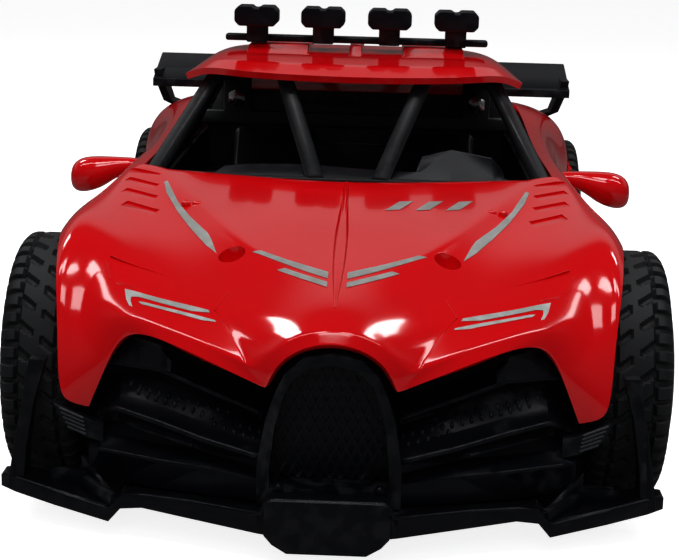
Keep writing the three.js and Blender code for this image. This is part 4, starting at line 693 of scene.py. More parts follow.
# %% Body shell: rows of the nose
NOSE_SHARES = [
    [(0, -0.264, 0.7), (0.1, -0.264, 0.68), (0.175, -0.26, 0.62), (0.205, -0.257, 0.54),
     (0.35, -0.239, 0.588), (0.5, -0.214, 0.636), (0.685, -0.164, 0.66), (0.745, -0.164, 0.53),
     (0.806, -0.164, 0.378)],
    [(0, -0.254, 0.736), (0.12, -0.254, 0.712), (0.2, -0.251, 0.652), (0.245, -0.25, 0.604),
     (0.375, -0.225, 0.64), (0.52, -0.196, 0.676), (0.77, -0.143, 0.706), (0.79, -0.164, 0.55),
     (0.866, -0.17, 0.395)],
    [(0, -0.214, 0.776), (0.1, -0.214, 0.76), (0.24, -0.211, 0.704), (0.385, -0.175, 0.73),
     (0.49, -0.171, 0.72), (0.62, -0.146, 0.732), (0.81, -0.107, 0.764), (0.87, -0.161, 0.59)],
    [(0, -0.15, 0.808), (0.12, -0.15, 0.798), (0.25, -0.146, 0.772), (0.365, -0.129, 0.764),
     (0.51, -0.111, 0.778), (0.66, -0.086, 0.792), (0.85, -0.064, 0.856), (0.915, -0.135, 0.74)],
    [(0, -0.105, 0.83), (0.16, -0.091, 0.834), (0.29, -0.061, 0.856), (0.4, -0.057, 0.83),
     (0.55, -0.046, 0.824), (0.72, -0.032, 0.848), (0.886, -0.029, 0.924), (0.945, -0.075, 0.87)],
    [(0, -0.014, 0.872), (0.18, -0.014, 0.872), (0.386, -0.007, 0.892), (0.49, 0.007, 0.864),
     (0.63, 0.014, 0.864), (0.78, 0.025, 0.9), (0.906, 0.021, 0.944), (0.955, 0.005, 0.922)],
    [(0, 0.057, 0.908), (0.2, 0.057, 0.91), (0.486, 0.068, 0.924), (0.58, 0.086, 0.906),
     (0.69, 0.093, 0.916), (0.8, 0.096, 0.94), (0.912, 0.104, 0.956), (0.972, 0.089, 0.912)],
    [(0, 0.136, 0.94), (0.22, 0.136, 0.942), (0.59, 0.143, 0.958), (0.666, 0.154, 0.952),
     (0.746, 0.161, 0.962), (0.82, 0.164, 0.972), (0.9, 0.168, 0.97), (0.986, 0.164, 0.85)],
    [(0, 0.221, 0.972), (0.24, 0.221, 0.978), (0.69, 0.236, 0.996), (0.744, 0.239, 1.006),
     (0.79, 0.243, 1.01), (0.83, 0.239, 1.008), (0.876, 0.232, 0.992), (0.98, 0.221, 0.8)],
]
FRONT_ARCH_SHARES = [(0.904, 0.006), (0.91, 0.14), (0.946, 0.29), (0.975, 0.46), (0.995, 0.64),
                     (1.006, 0.81), (0.996, 0.96)]
print("rows of the nose", len(NOSE_SHARES))

# %% [markdown]
# The doors are narrow rows that start at the window sill. Behind them the haunch widens over the
# rear wheel, and the tail closes the shell across the car again and turns down to the bumper.

# %% Body shell: rows of the doors and the tail
DOOR_SHARES = [
    [(0.79, 0.314, 1.008), (0.83, 0.314, 1.012), (0.87, 0.314, 0.992), (0.952, 0.3, 0.76),
     (0.976, 0.186, 0.27)],
    [(0.786, 0.457, 1.004), (0.824, 0.457, 1.008), (0.876, 0.457, 0.98), (0.916, 0.443, 0.72),
     (0.96, 0.357, 0.26)],
    [(0.79, 0.6, 1.008), (0.832, 0.6, 1.014), (0.89, 0.6, 0.98), (0.912, 0.6, 0.72),
     (0.96, 0.557, 0.26)],
    [(0.796, 0.743, 1.02), (0.844, 0.743, 1.026), (0.93, 0.743, 0.976), (0.976, 0.729, 0.74),
     (0.976, 0.714, 0.26)],
    [(0.8, 0.857, 1.032), (0.86, 0.857, 1.038), (0.97, 0.85, 0.98), (1.056, 0.829, 0.8),
     (1, 0.814, 0.264)],
]
HAUNCH_SHARES = [(0.8, 0.936, 1.036), (0.876, 0.929, 1.04), (1, 0.914, 0.99), (1.076, 0.886, 0.83)]
TAIL_SHARES = [
    [(0, 0.986, 1.04), (0.24, 0.986, 1.04), (0.54, 0.982, 1.04), (0.7, 0.979, 1.044),
     (0.8, 0.979, 1.04), (0.89, 0.986, 1.032), (0.99, 0.986, 0.984), (1.05, 0.957, 0.91)],
    [(0, 1.086, 1.02), (0.24, 1.086, 1.02), (0.54, 1.086, 1.024), (0.7, 1.086, 1.028),
     (0.8, 1.086, 1.026), (0.886, 1.086, 1.012), (0.976, 1.086, 0.972), (1.024, 1.057, 0.936)],
    [(0, 1.186, 0.99), (0.24, 1.186, 0.99), (0.54, 1.186, 0.996), (0.7, 1.186, 1),
     (0.8, 1.186, 0.996), (0.88, 1.186, 0.98), (0.956, 1.179, 0.936), (1.012, 1.143, 0.86)],
    [(0, 1.279, 0.972), (0.24, 1.279, 0.972), (0.54, 1.275, 0.978), (0.7, 1.271, 0.98),
     (0.79, 1.264, 0.976), (0.86, 1.257, 0.96), (0.926, 1.246, 0.91), (0.992, 1.207, 0.74)],
    [(0, 1.343, 0.95), (0.24, 1.343, 0.95), (0.54, 1.336, 0.952), (0.68, 1.325, 0.948),
     (0.76, 1.314, 0.94), (0.83, 1.3, 0.92), (0.89, 1.282, 0.87), (0.96, 1.243, 0.65)],
    [(0, 1.34, 0.79), (0.24, 1.34, 0.79), (0.52, 1.332, 0.79), (0.66, 1.322, 0.79),
     (0.75, 1.311, 0.782), (0.82, 1.297, 0.762), (0.886, 1.28, 0.71), (0.952, 1.244, 0.52)],
    [(0, 1.336, 0.6), (0.24, 1.336, 0.6), (0.52, 1.328, 0.6), (0.66, 1.318, 0.6),
     (0.75, 1.307, 0.6), (0.82, 1.293, 0.59), (0.88, 1.275, 0.55), (0.944, 1.239, 0.42),
     (0.99, 1.193, 0.32)],
]
REAR_ARCH_SHARES = [(1.03, 0.04), (1.06, 0.3), (1.04, 0.5), (1.045, 0.7), (1.03, 0.86),
                    (1.01, 0.97), (1, 1.07)]
SILL_ROW = 4


def shell_stations():
    """The rows from the nose to the tail, each from the middle outwards.
    The rows of the doors start at the sill."""
    nose = [[at_share(*share) for share in row] for row in NOSE_SHARES]
    for row, share in zip([row for row in nose if len(row) == 8], FRONT_ARCH_SHARES):
        row.append(on_arch(FRONT_AXLE, *share))
    door = [[at_share(*share) for share in row] for row in DOOR_SHARES]
    haunch = [[at_share(*share) for share in HAUNCH_SHARES]]
    tail = [[at_share(*share) for share in row] for row in TAIL_SHARES]
    for row, share in zip(haunch + tail[:-1], REAR_ARCH_SHARES):
        row.append(on_arch(REAR_AXLE, *share))
    return ([(0, row) for row in nose] + [(SILL_ROW, row) for row in door + haunch]
            + [(0, row) for row in tail])


print("stations", len(shell_stations()))


# %% [markdown]
# Only one half is written down, because a mirrored car has no error from side to side. The cage
# joins each place to its neighbours in the row and in the next station. A subdivision surface will
# round it, and creased edges will keep the folds.

# %% Body shell: a cage mirrored over the middle line
def mirrored_cage(name, stations, creases):
    """A cage mirrored over the middle line. Creases run between (station, row) places."""
    points, index = [], {}
    for s, (first, row_points) in enumerate(stations):
        for i, place in enumerate(row_points):
            row = first + i
            index[s, row] = len(points)
            points.append(place)
            if row > 0:
                index[s, -row] = len(points)
                points.append(Vector((-place.x, place.y, place.z)))
    last = max(row for _, row in index)
    faces = []
    for s in range(len(stations) - 1):
        for row in range(-last, last):
            corners = [(s, row), (s, row + 1), (s + 1, row + 1), (s + 1, row)]
            if all(corner in index for corner in corners):
                faces.append([index[corner] for corner in corners])
    mesh = bpy.data.meshes.new(name)
    mesh.from_pydata([point * MM for point in points], [], faces)
    sharp = {}
    for start, stop, sharpness in creases:
        steps = max(abs(stop[0] - start[0]), abs(stop[1] - start[1]))
        for n in range(steps):
            ends = []
            for k in (n, n + 1):
                ends.append(tuple(a + (b - a) * k // steps for a, b in zip(start, stop)))
            for side in (1, -1):
                pair = frozenset(index[s, row * side] for s, row in ends)
                sharp[pair] = sharpness
    values = [sharp.get(frozenset(edge.vertices), 0.0) for edge in mesh.edges]
    mesh.attributes.new("crease_edge", "FLOAT", "EDGE").data.foreach_set("value", values)
    return linked(name, mesh)


print("places in half the cage", sum(len(row) for _, row in shell_stations()))


# %% [markdown]
# The wall of the moulding is 1.4 mm, as such bodies have. The creases are given between places of
# the cage, with 1 for a sharp edge: the brow, the two folds of the bonnet, the corners where the
# sills begin and end, and the lip of the tail. The rim of the skin gets a small round.

# %% Body shell: skin, creases and wall
def rounded_skin(piece, levels, wall):
    """Rounds a cage and gives it a wall on the inside."""
    rounding = piece.modifiers.new("rounding", "SUBSURF")
    rounding.levels = rounding.render_levels = levels
    rounding.boundary_smooth = "PRESERVE_CORNERS"
    thick = piece.modifiers.new("wall", "SOLIDIFY")
    thick.thickness = wall * MM
    thick.offset = -1
    thick.use_even_offset = False
    return settle(piece)


NOSE_END, TAIL_START, TAIL_END = 8, 15, 21
SHELL_CREASES = [
    ((0, 3), (3, 3), 0.55),
    ((1, 0), (1, 6), 0.55),
    ((4, 0), (4, 2), 0.5),
    ((4, 2), (NOSE_END, 2), 0.5),
    ((NOSE_END, SILL_ROW), (NOSE_END, SILL_ROW + 1), 1.0),
    ((TAIL_START, SILL_ROW), (TAIL_START, SILL_ROW + 1), 1.0),
    ((TAIL_END - 2, 0), (TAIL_END - 2, 6), 0.6),
]
SHELL_WALL, SHELL_ROUNDING, RIM_ROUND, RIM_SEGMENTS, RIM_ANGLE = 1.4, 3, 0.3, 3, 60
shell_cage = mirrored_cage("body_moulding", shell_stations(), SHELL_CREASES)
shell = rounded_skin(shell_cage, SHELL_ROUNDING, SHELL_WALL)
bevelled(shell, RIM_ROUND, RIM_SEGMENTS, RIM_ANGLE, harden=False)
highest = max(vertex.co.z for vertex in shell.data.vertices)
print("shell faces", len(shell.data.polygons), "top", round(highest / MM, 1))

# %% [markdown]
# Details of the shell follow its own surface. They could be modelled flat and shrink-wrapped, but a
# ray that finds the surface under each point of a path is exact and needs no modifier, so grooves,
# slots and foil can be laid wherever the shell curves.

# %% Laying paths on the shell
shell_surface = BVHTree.FromObject(shell, bpy.context.evaluated_depsgraph_get())
DOWN, BACK = Vector((0, 0, -1)), Vector((0, 1, 0))
RAY_START = 200


def on_shell(point, direction, surface=None):
    """Where a ray through the point first meets the shell, with the outward normal, in mm."""
    start = (Vector(point) - direction * RAY_START) * MM
    hit, normal, _, _ = (surface or shell_surface).ray_cast(start, direction)
    if hit is None:
        return None, None
    return hit / MM, (normal if normal.dot(direction) < 0 else -normal)


def laid_path(points, direction, spacing=1.0, surface=None):
    """A path of points laid on the shell, with steps of about the spacing."""
    path = []
    for start, stop in zip(points, points[1:]):
        start, stop = Vector(start), Vector(stop)
        count = max(1, round((stop - start).length / spacing))
        for k in range(count):
            path.append(start.lerp(stop, k / count))
    path.append(Vector(points[-1]))
    hits = [on_shell(point, direction, surface)[0] for point in path]
    return [hit for hit in hits if hit is not None]


def both_sides(points):
    """The same path on the left and on the right of the car."""
    return [[(side * x, y, z) for x, y, z in points] for side in SIDES.values()]


def side_ray(side):
    """The direction of a ray that comes in from one side."""
    return Vector((-side, 0, 0))


bonnet_spot, bonnet_normal = on_shell((0, -80, 0), DOWN)
print("bonnet over the axle at", round(bonnet_spot.z, 1), "facing", round(bonnet_normal.z, 2))

# %% [markdown]
# Panel lines are shallow grooves that stand for the gaps of the doors and the boot, with a fold
# beside the nose. A thin round tube is laid half sunk in the surface and cut out of it later, which
# leaves a groove of even depth.

# %% Panel lines of the shell
FOLD_RADIUS, BOOT_RADIUS, DOOR_RADIUS, LINE_SIDES = 0.14, 0.28, 0.32, 8
NOSE_FOLD = [(19.6, -99.9, 0), (16.2, -105.6, 0), (13.6, -110.2, 0)]
BOOT_LINE = [(4, 66, 0), (30, 66, 0), (33, 70, 0), (31, 98, 0), (27, 103, 0), (0, 104.5, 0)]
DOOR_LINE = [(0, -36, 46.5), (0, -34, 30), (0, -29, 19), (0, 6, 18), (0, 14, 30), (0, 12, 46.5)]
panel_lines = []
for path, radius in ((NOSE_FOLD, FOLD_RADIUS), (BOOT_LINE, BOOT_RADIUS)):
    panel_lines += [(laid_path(side_path, DOWN), radius) for side_path in both_sides(path)]
for side in SIDES.values():
    panel_lines.append((laid_path(DOOR_LINE, side_ray(side)), DOOR_RADIUS))
line_tools = [tube("panel_line", path, radius, LINE_SIDES) for path, radius in panel_lines]
print("panel lines", len(line_tools))

# %% [markdown]
# The louvres behind the front wheels are shallow steps: each starts flush at its front edge and
# drops to a small wall at its rear. A straight slot would look like a hole, so a wedge is cut for
# each one. The slots in the rear deck are cut by the same tool, deeper and straight across.

# %% Louvres and deck slots
WEDGE_FACES = [(0, 1, 2, 3), (7, 6, 5, 4), (0, 4, 5, 1), (1, 5, 6, 2), (2, 6, 7, 3), (3, 7, 4, 0)]
WEDGE_RUNOUT = 0.05


def wedge(centre, along, normal, length, width, depth, lift=0.8):
    """A louvre cutter: deep at its rear edge, running out at its front edge."""
    along = along.normalized()
    across = normal.cross(along).normalized()
    if across.y < 0:
        across.negate()
    section = [(-width / 2, lift), (width / 2, lift), (width / 2, -depth),
               (-width / 2, WEDGE_RUNOUT)]
    points = []
    for end in (-length / 2, length / 2):
        points += [centre + along * end + across * v + normal * n for v, n in section]
    return points, WEDGE_FACES


LOUVRE_LENGTH, LOUVRE_WIDTH, LOUVRE_DEPTH = 6.4, 3.3, 0.34
DECK_SLOT_WIDTH, DECK_SLOT_DEPTH = 2.2, 0.8
LOUVRES = [((42.1, -45.4), (36.4, -47.8)), ((41.8, -50.9), (35.7, -53.2)),
           ((41.4, -57.0), (34.9, -58.9)), ((40.4, -63.6), (33.6, -65.4))]
louvre_shapes = []
for side in SIDES.values():
    for start, stop in LOUVRES:
        ends = [on_shell((side * x, y, 0), DOWN)[0] for x, y in (start, stop)]
        middle, normal = on_shell((ends[0] + ends[1]) / 2, DOWN)
        louvre_shapes.append(
            wedge(middle, ends[1] - ends[0], normal, LOUVRE_LENGTH, LOUVRE_WIDTH, LOUVRE_DEPTH))
DECK_SLOTS = [(70.5, 17), (74.5, 18), (78.5, 19), (82.5, 18)]
for y, half in DECK_SLOTS:
    middle, normal = on_shell((0, y, 0), DOWN)
    louvre_shapes.append(
        wedge(middle, Vector((1, 0, 0)), normal, half * 2, DECK_SLOT_WIDTH, DECK_SLOT_DEPTH))
louvre_tool = gathered("louvre_slots", louvre_shapes)
print("louvres and slots", len(louvre_shapes))

# %% [markdown]
# A sheet that follows the shell is useful twice, for a shallow hollow and for foil. A flat outline
# is cut into small cells, each corner is dropped on the shell along a ray, and it is lifted or sunk
# along the surface's own normal. Then it is thickened.

# %% Helpers for sheets laid on the shell
SHEET_REACH = ((Vector((1, 0, 0)), 60), (Vector((0, 1, 0)), 120))


def laid_sheet(outlines, direction, cell, height):
    """A flat outline cut into cells and dropped on the shell, at a height that may change."""
    sheet = bmesh.new()
    for outline in outlines:
        sheet.faces.new([sheet.verts.new((x, y, 0)) for x, y in outline])
    for axis, extent in SHEET_REACH:
        for k in range(int(2 * extent / cell)):
            spot = axis * (-extent + k * cell)
            reach = [v.co.dot(axis) for v in sheet.verts]
            if min(reach) < spot.dot(axis) < max(reach):
                bmesh.ops.bisect_plane(
                    sheet, geom=sheet.verts[:] + sheet.edges[:] + sheet.faces[:],
                    plane_co=spot, plane_no=axis, dist=1e-5,
                )
    bmesh.ops.triangulate(sheet, faces=sheet.faces)
    for vertex in sheet.verts:
        flat_x = abs(vertex.co.x)
        hit, normal = on_shell((vertex.co.x, vertex.co.y, 0), direction)
        vertex.co = (hit + normal * height(flat_x)) * MM
    bmesh.ops.recalc_face_normals(sheet, faces=sheet.faces)
    if sum((face.normal.z for face in sheet.faces)) < 0:
        bmesh.ops.reverse_faces(sheet, faces=sheet.faces)
    return sheet


def thickened(name, sheet, thick):
    """A sheet turned into a piece with a thickness, on its outer side."""
    mesh = bpy.data.meshes.new(name)
    sheet.to_mesh(mesh)
    sheet.free()
    piece = linked(name, mesh)
    wall = piece.modifiers.new("thickness", "SOLIDIFY")
    wall.thickness = thick * MM
    wall.offset = 1
    return settle(piece)


def mirrored_outline(outline, side):
    """An outline for one side, kept running the same way round."""
    return [(side * x, y) for x, y in (outline if side > 0 else reversed(outline))]


print("sheets reach", [extent for _, extent in SHEET_REACH], "mm from the middle")

# %% [markdown]
# The headlight panel is a shallow hollow that fades out towards the middle of the nose. A cut of
# one depth would end in a step there, so the cutter's underside climbs out of the shell along its
# length.

# %% Hollows of the headlights
HOLLOW = [(38.9, -85.8), (37.6, -90.9), (31, -93.8), (21, -97.6), (19.6, -95.4), (25, -91.4),
          (32.2, -88.0)]
HOLLOW_DEEP, HOLLOW_FROM, HOLLOW_TO = 0.27, 26.0, 39.0
HOLLOW_CLEAR, HOLLOW_CELL, HOLLOW_TOOL = 0.06, 1.0, 1.2


def hollow_height(across):
    """Clear of the shell at the inner end, and deepest at the outer one."""
    share = (across - HOLLOW_FROM) / (HOLLOW_TO - HOLLOW_FROM)
    return HOLLOW_CLEAR - (HOLLOW_DEEP + HOLLOW_CLEAR) * min(1, max(0, share))


hollow_tools = []
for side in SIDES.values():
    sheet = laid_sheet([mirrored_outline(HOLLOW, side)], DOWN, HOLLOW_CELL, hollow_height)
    hollow_tools.append(thickened("hollow", sheet, HOLLOW_TOOL))
print("hollows", len(hollow_tools), "at most", HOLLOW_DEEP, "mm deep")

# %% [markdown]
# A smooth spear runs down the middle of the bonnet. It could be a row of the cage, but then it
# would need many narrow faces. So it is lofted from sections that sit on the surface: narrow at
# the windscreen, widest over the axle and pointed at the nose.

# %% Spear on the bonnet
SPEAR = [(-45.6, 0.45, 0.3), (-49, 0.5, 0.32), (-54, 0.6, 0.36), (-60, 0.75, 0.4),
         (-66, 0.95, 0.45), (-72, 1.15, 0.5), (-78, 1.2, 0.5), (-84, 1.15, 0.46),
         (-90, 1.0, 0.4), (-96, 0.7, 0.32), (-101, 0.4, 0.22), (-105, 0.15, 0.12)]
SPEAR_SECTION = [(-1, -0.3), (-1, 0.0), (-0.8, 0.6), (-0.45, 0.92), (0, 1),
                 (0.45, 0.92), (0.8, 0.6), (1, 0.0), (1, -0.3)]
spear_points, spear_faces = [], []
count = len(SPEAR_SECTION)
for y, half, high in SPEAR:
    for across, up in SPEAR_SECTION:
        hit, normal = on_shell((across * half, y, 0), DOWN)
        spear_points.append(hit + normal * (up * high if up > 0 else up))
for i in range(len(SPEAR) - 1):
    for k in range(count):
        a, b = i * count + k, i * count + (k + 1) % count
        spear_faces.append((a, b, b + count, a + count))
spear_faces += [tuple(range(count)), tuple(range(len(spear_points) - count, len(spear_points)))]
spear = from_points("spear", spear_points, spear_faces)
print("spear sections", len(SPEAR))

# %% [markdown]
# Round posts under the bonnet and the deck take the screws that hold the shell to the chassis. The
# bonnet's screws are seen from above in two round wells. A post's top follows the underside of the
# shell, so that it joins without showing through.

# %% Screw wells and posts of the shell
WELL_X, WELL_Y, WELL_FLOOR, WELL_RADIUS, WELL_OPEN = 18.4, -83.7, 38.9, 2.3, 50
POST_RADIUS, POST_FOOT, SCREW_HOLE = 3.4, 24.0, 1.4
DECK_X, DECK_Y, DECK_FOOT, DECK_HOLE_TOP = 26.0, 92.0, 21.0, 28
POST_SINK, POST_SIDES, HOLE_SIDES = 0.7, 48, 20
HOLE_PAST_FOOT, HOLE_UNDER_WELL = 2, 0.5


def upright_rod(name, x, y, low, high, radius, sides=POST_SIDES):
    """A round cutter that stands upright."""
    return tube(name, [(x, y, low), (x, y, high)], radius, sides)


def post_to_shell(name, x, y, foot):
    """A round post whose top follows the underside of the surface."""
    ring = []
    for k in range(POST_SIDES):
        turn = 2 * math.pi * k / POST_SIDES
        ring.append((x + POST_RADIUS * math.cos(turn), y + POST_RADIUS * math.sin(turn)))
    points = [(px, py, foot) for px, py in ring]
    points += [(px, py, on_shell((px, py, 0), DOWN)[0].z - POST_SINK) for px, py in ring]
    points.append((x, y, on_shell((x, y, 0), DOWN)[0].z - POST_SINK))
    faces = [tuple(range(POST_SIDES))]
    for k in range(POST_SIDES):
        a, b = k, (k + 1) % POST_SIDES
        faces += [(a, b, b + POST_SIDES, a + POST_SIDES),
                  (a + POST_SIDES, b + POST_SIDES, 2 * POST_SIDES)]
    return from_points(name, points, faces)


posts, wells = [], []
for label, side in SIDES.items():
    x = side * WELL_X
    posts.append(post_to_shell("post_" + label, x, WELL_Y, POST_FOOT))
    wells.append(upright_rod("well_" + label, x, WELL_Y, WELL_FLOOR, WELL_OPEN, WELL_RADIUS))
    wells.append(upright_rod("hole_" + label, x, WELL_Y, POST_FOOT - HOLE_PAST_FOOT,
                             WELL_FLOOR - HOLE_UNDER_WELL, SCREW_HOLE, HOLE_SIDES))
    x = side * DECK_X
    posts.append(post_to_shell("deck_post_" + label, x, DECK_Y, DECK_FOOT))
    wells.append(upright_rod("deck_hole_" + label, x, DECK_Y, DECK_FOOT - HOLE_PAST_FOOT,
                             DECK_HOLE_TOP, SCREW_HOLE, HOLE_SIDES))
print("posts", len(posts), "holes and wells", len(wells))

# %% [markdown]
# Thin raised beads edge the headlight panels and the fold of the nose. All that stands proud is
# joined to the shell first, and all cutters are taken away after it, so each boolean works on one
# clean closed body.

# %% Fine beads, and the shell put together
FINE_LINES = [[(38.7, -85.9, 0), (36, -86.8, 0), (32.5, -88.2, 0)],
              [(39.3, -87.2, 0), (38.0, -90.9, 0)], [(36.8, -91.7, 0), (33.6, -93.1, 0)],
              [(17.9, -95.3, 0), (19.6, -99.9, 0)]]
FINE_RADIUS, FINE_SIDES = 0.16, 8
fine_beads = []
for path in FINE_LINES:
    for side_path in both_sides(path):
        fine_path = laid_path(side_path, DOWN)
        fine_beads.append(tube("fine_bead", fine_path, FINE_RADIUS, FINE_SIDES))
combined(shell, [spear] + fine_beads + posts, "UNION")
combined(shell, wells + [louvre_tool] + hollow_tools + line_tools, "DIFFERENCE")
smooth(shell, 32)
finished(shell, "chassis", "red_gloss", red_gloss, "body_shell")
print("shell with details", len(shell.data.polygons))

# %% [markdown]
# The silver marks are foil stuck on the shell. They could be a mask in the red material, but real
# foil has an edge that catches light. So each is drawn flat from above, cut into small cells,
# dropped onto the surface and given the thickness of foil.

# %% Foil laid on the shell
FOIL_LIFT, FOIL_THICK, FOIL_CELL, FINE_FOIL_CELL = 0.05, 0.06, 1.2, 0.9


def foil(name, outlines, cell=FOIL_CELL):
    """A foil mark laid on the shell."""
    piece = thickened(name, laid_sheet(outlines, DOWN, cell, lambda across: FOIL_LIFT), FOIL_THICK)
    smooth(piece, 60)
    return finished(piece, "chassis", "steel", silver_foil)


SLASH = [(34.5, -50.6), (33.9, -50.1), (30.7, -60), (27.6, -66.9), (23.5, -74.7), (22.7, -77),
         (21.1, -82.6), (23.4, -79), (26.6, -72.5), (30, -64.8), (33.3, -55.9)]
UPPER_STROKE = [(35.2, -93.3), (33.5, -94), (20.5, -99.8), (20.3, -100.4), (23.4, -99.7),
                (32.6, -95.4), (33.8, -95.2), (33.8, -96), (33.3, -97.3), (33.9, -96.9),
                (34.6, -95.5)]
LOWER_STROKE = [(32.4, -96.5), (31.6, -96.7), (19.3, -102.1), (19, -102.5), (21.4, -101.9),
                (31.9, -97.1)]
CHEVRON_BARS = [[(14.8, -84.3), (13.4, -83.9), (1.6, -91.6), (1.6, -94.2)],
                [(10.2, -90.6), (8.9, -90.1), (1.6, -95.6), (1.6, -97.6)]]
SLANT_BARS = [[(x, -61.6), (x + 2.6, -61.2), (x + 5.2, -56.2), (x + 2.6, -56.6)]
              for x in (7.5, 13, 18.5)]

for label, side in SIDES.items():
    foil("slash_foil_" + label, [mirrored_outline(SLASH, side)])
    strokes = [mirrored_outline(stroke, side) for stroke in (UPPER_STROKE, LOWER_STROKE)]
    foil("headlight_foil_" + label, strokes, FINE_FOIL_CELL)
    foil("chevron_foil_" + label, [mirrored_outline(shape, side) for shape in CHEVRON_BARS])
foil("slanted_bars_foil", SLANT_BARS)

# %% [markdown]
# Two washer jets stand on the bonnet before the windscreen. Each is a pair of small round knobs of
# the body's own plastic, half sunk in the surface. An icosphere keeps its faces even at this size,
# where a ball of rings would pinch at its poles.

# %% Washer jets
JET_PLACE, JET_RADIUS, JET_APART, JET_SINK = (28.0, -61.8), 0.8, 1.0, 0.05
JET_STRETCH = Matrix.Diagonal((1.15, 0.9, 0.9, 1))
for label, side in SIDES.items():
    middle, normal = on_shell((side * JET_PLACE[0], JET_PLACE[1], 0), DOWN)
    jets = bmesh.new()
    for offset in (-JET_APART, JET_APART):
        spot = Matrix.Translation((middle + Vector((offset, 0, 0)) - normal * JET_SINK) * MM)
        bmesh.ops.create_icosphere(jets, subdivisions=3, radius=JET_RADIUS * MM,
                                   matrix=spot @ JET_STRETCH)
    mesh = bpy.data.meshes.new("washer_jet_" + label)
    jets.to_mesh(mesh)
    jets.free()
    finished(smooth(linked("washer_jet_" + label, mesh)), "chassis", "red_gloss", red_gloss)
print("washer jets at height", round(middle.z, 1))

# %% [markdown]
# A dark red lamp strip crosses the tail. Cut from a flat bar it would stand off at the corners, so
# it is a flattened bead laid on the rear face, which bends round the corners with the body.

# %% Tail lamp strip
AHEAD = Vector((0, -1, 0))
STRIP_PATH = [(-41, 0, 34.6), (-36, 0, 35.6), (0, 0, 36.0), (36, 0, 35.6), (41, 0, 34.6)]
STRIP_STEP, STRIP_RADIUS, STRIP_SIDES, STRIP_FLAT = 2.0, 1.3, 16, 0.4
strip_path = laid_path(STRIP_PATH, AHEAD, STRIP_STEP)
strip = tube("tail_strip", strip_path, STRIP_RADIUS, STRIP_SIDES, STRIP_FLAT)
finished(smooth(strip, 40), "chassis", "red_gloss", tail_lens)
print("tail strip", [round(c / MM, 1) for c in strip.dimensions])

# %% [markdown]
# The roof panel is a second red skin, clipped on the cage, with two raised strakes and a spine. It
# is made as the shell is: a cage of shares, rounded and given a wall. The strakes are joined to it
# as solid bars with rounded edges, because a subdivision cage would melt their crisp sides.

# %% Roof panel
ROOF_HALF, ROOF_FRONT, ROOF_LENGTH, ROOF_LIP, ROOF_RISE = 35.5, -16.5, 54.0, 64.0, 5.5
ROOF_SHARES = [
    [(0, 0, 0.34), (0.34, 0.01, 0.36), (0.68, 0.04, 0.42), (0.88, 0.075, 0.55), (1, 0.11, 0.2)],
    [(0, 0.11, 0.66), (0.34, 0.12, 0.67), (0.68, 0.14, 0.7), (0.88, 0.17, 0.72), (0.995, 0.23, 0.2)],
    [(0, 0.34, 0.92), (0.34, 0.34, 0.95), (0.68, 0.34, 0.96), (0.86, 0.35, 0.9), (0.98, 0.45, 0.2)],
    [(0, 0.57, 0.99), (0.34, 0.57, 1.01), (0.67, 0.57, 1), (0.84, 0.57, 0.9), (0.965, 0.6, 0.2)],
    [(0, 0.79, 0.92), (0.34, 0.79, 0.93), (0.65, 0.79, 0.9), (0.82, 0.79, 0.72), (0.94, 0.79, 0.14)],
    [(0, 1, 0.7), (0.34, 1, 0.69), (0.62, 0.99, 0.66), (0.77, 0.97, 0.45), (0.9, 0.95, 0)],
]
ROOF_CREASES, ROOF_ROUNDING = [((1, 0), (1, 3), 0.6)], 4


def on_roof(across, along, up):
    """A place on the roof from its shares."""
    return Vector((across * ROOF_HALF, ROOF_FRONT + along * ROOF_LENGTH, ROOF_LIP + up * ROOF_RISE))


roof_stations = [(0, [on_roof(*share) for share in row]) for row in ROOF_SHARES]
roof_cage = mirrored_cage("roof_moulding", roof_stations, ROOF_CREASES)
roof = rounded_skin(roof_cage, ROOF_ROUNDING, SHELL_WALL)


def strake(name, x0, x1, front=-1.0, rear=29.0, low=68.5, crown=70.35, fall=3.0):
    """A raised bar along the roof, sloped down at both ends."""
    side = [(front, low), (rear, low), (rear - fall, crown), (front + fall * 2, crown)]
    points = [(x, y, z) for x in (x0, x1) for y, z in side]
    faces = [(0, 1, 2, 3), (7, 6, 5, 4)]
    faces += [(i, (i + 1) % 4, (i + 1) % 4 + 4, i + 4) for i in range(4)]
    return bevelled(from_points(name, points, faces), 0.5, 3)


strakes = [strake("strake_a", 10.2, 23.6), strake("strake_b", -23.6, -10.2),
           strake("spine", -1.5, 1.5)]
combined(roof, strakes, "UNION")
smooth(roof, 35)
finished(roof, "chassis", "red_gloss", red_gloss, "roof_panel")
print("roof faces", len(roof.data.polygons))

# %% [markdown]
# The door mirrors are deep rounded pods on a short arm. A ball stretched to size would be too
# plain, so each is lofted through eight-sided sections and rounded by subdivision. Its glass is a
# thin plated plate set in the rear face.

# %% Door mirrors
MIRROR_SECTIONS = [(41.5, 2.0, 49.0, 46.6), (47, 2.4, 49.1, 45.6), (50.5, 4.0, 49.2, 42.6),
                   (54.5, 4.2, 49.1, 41.4), (56.4, 3.2, 47.8, 42.0), (57, 1.8, 46.4, 43.4)]
MIRROR_Y, MIRROR_CORNER, MIRROR_ROUNDING = -25, 0.3, 3
GLASS_OUTLINE = [(50.4, 43.4), (54.6, 42.6), (55.6, 44.5), (55.2, 47.6), (51, 48.2), (50, 46)]
GLASS_FACE, GLASS_BACK = 4.05, 3.5


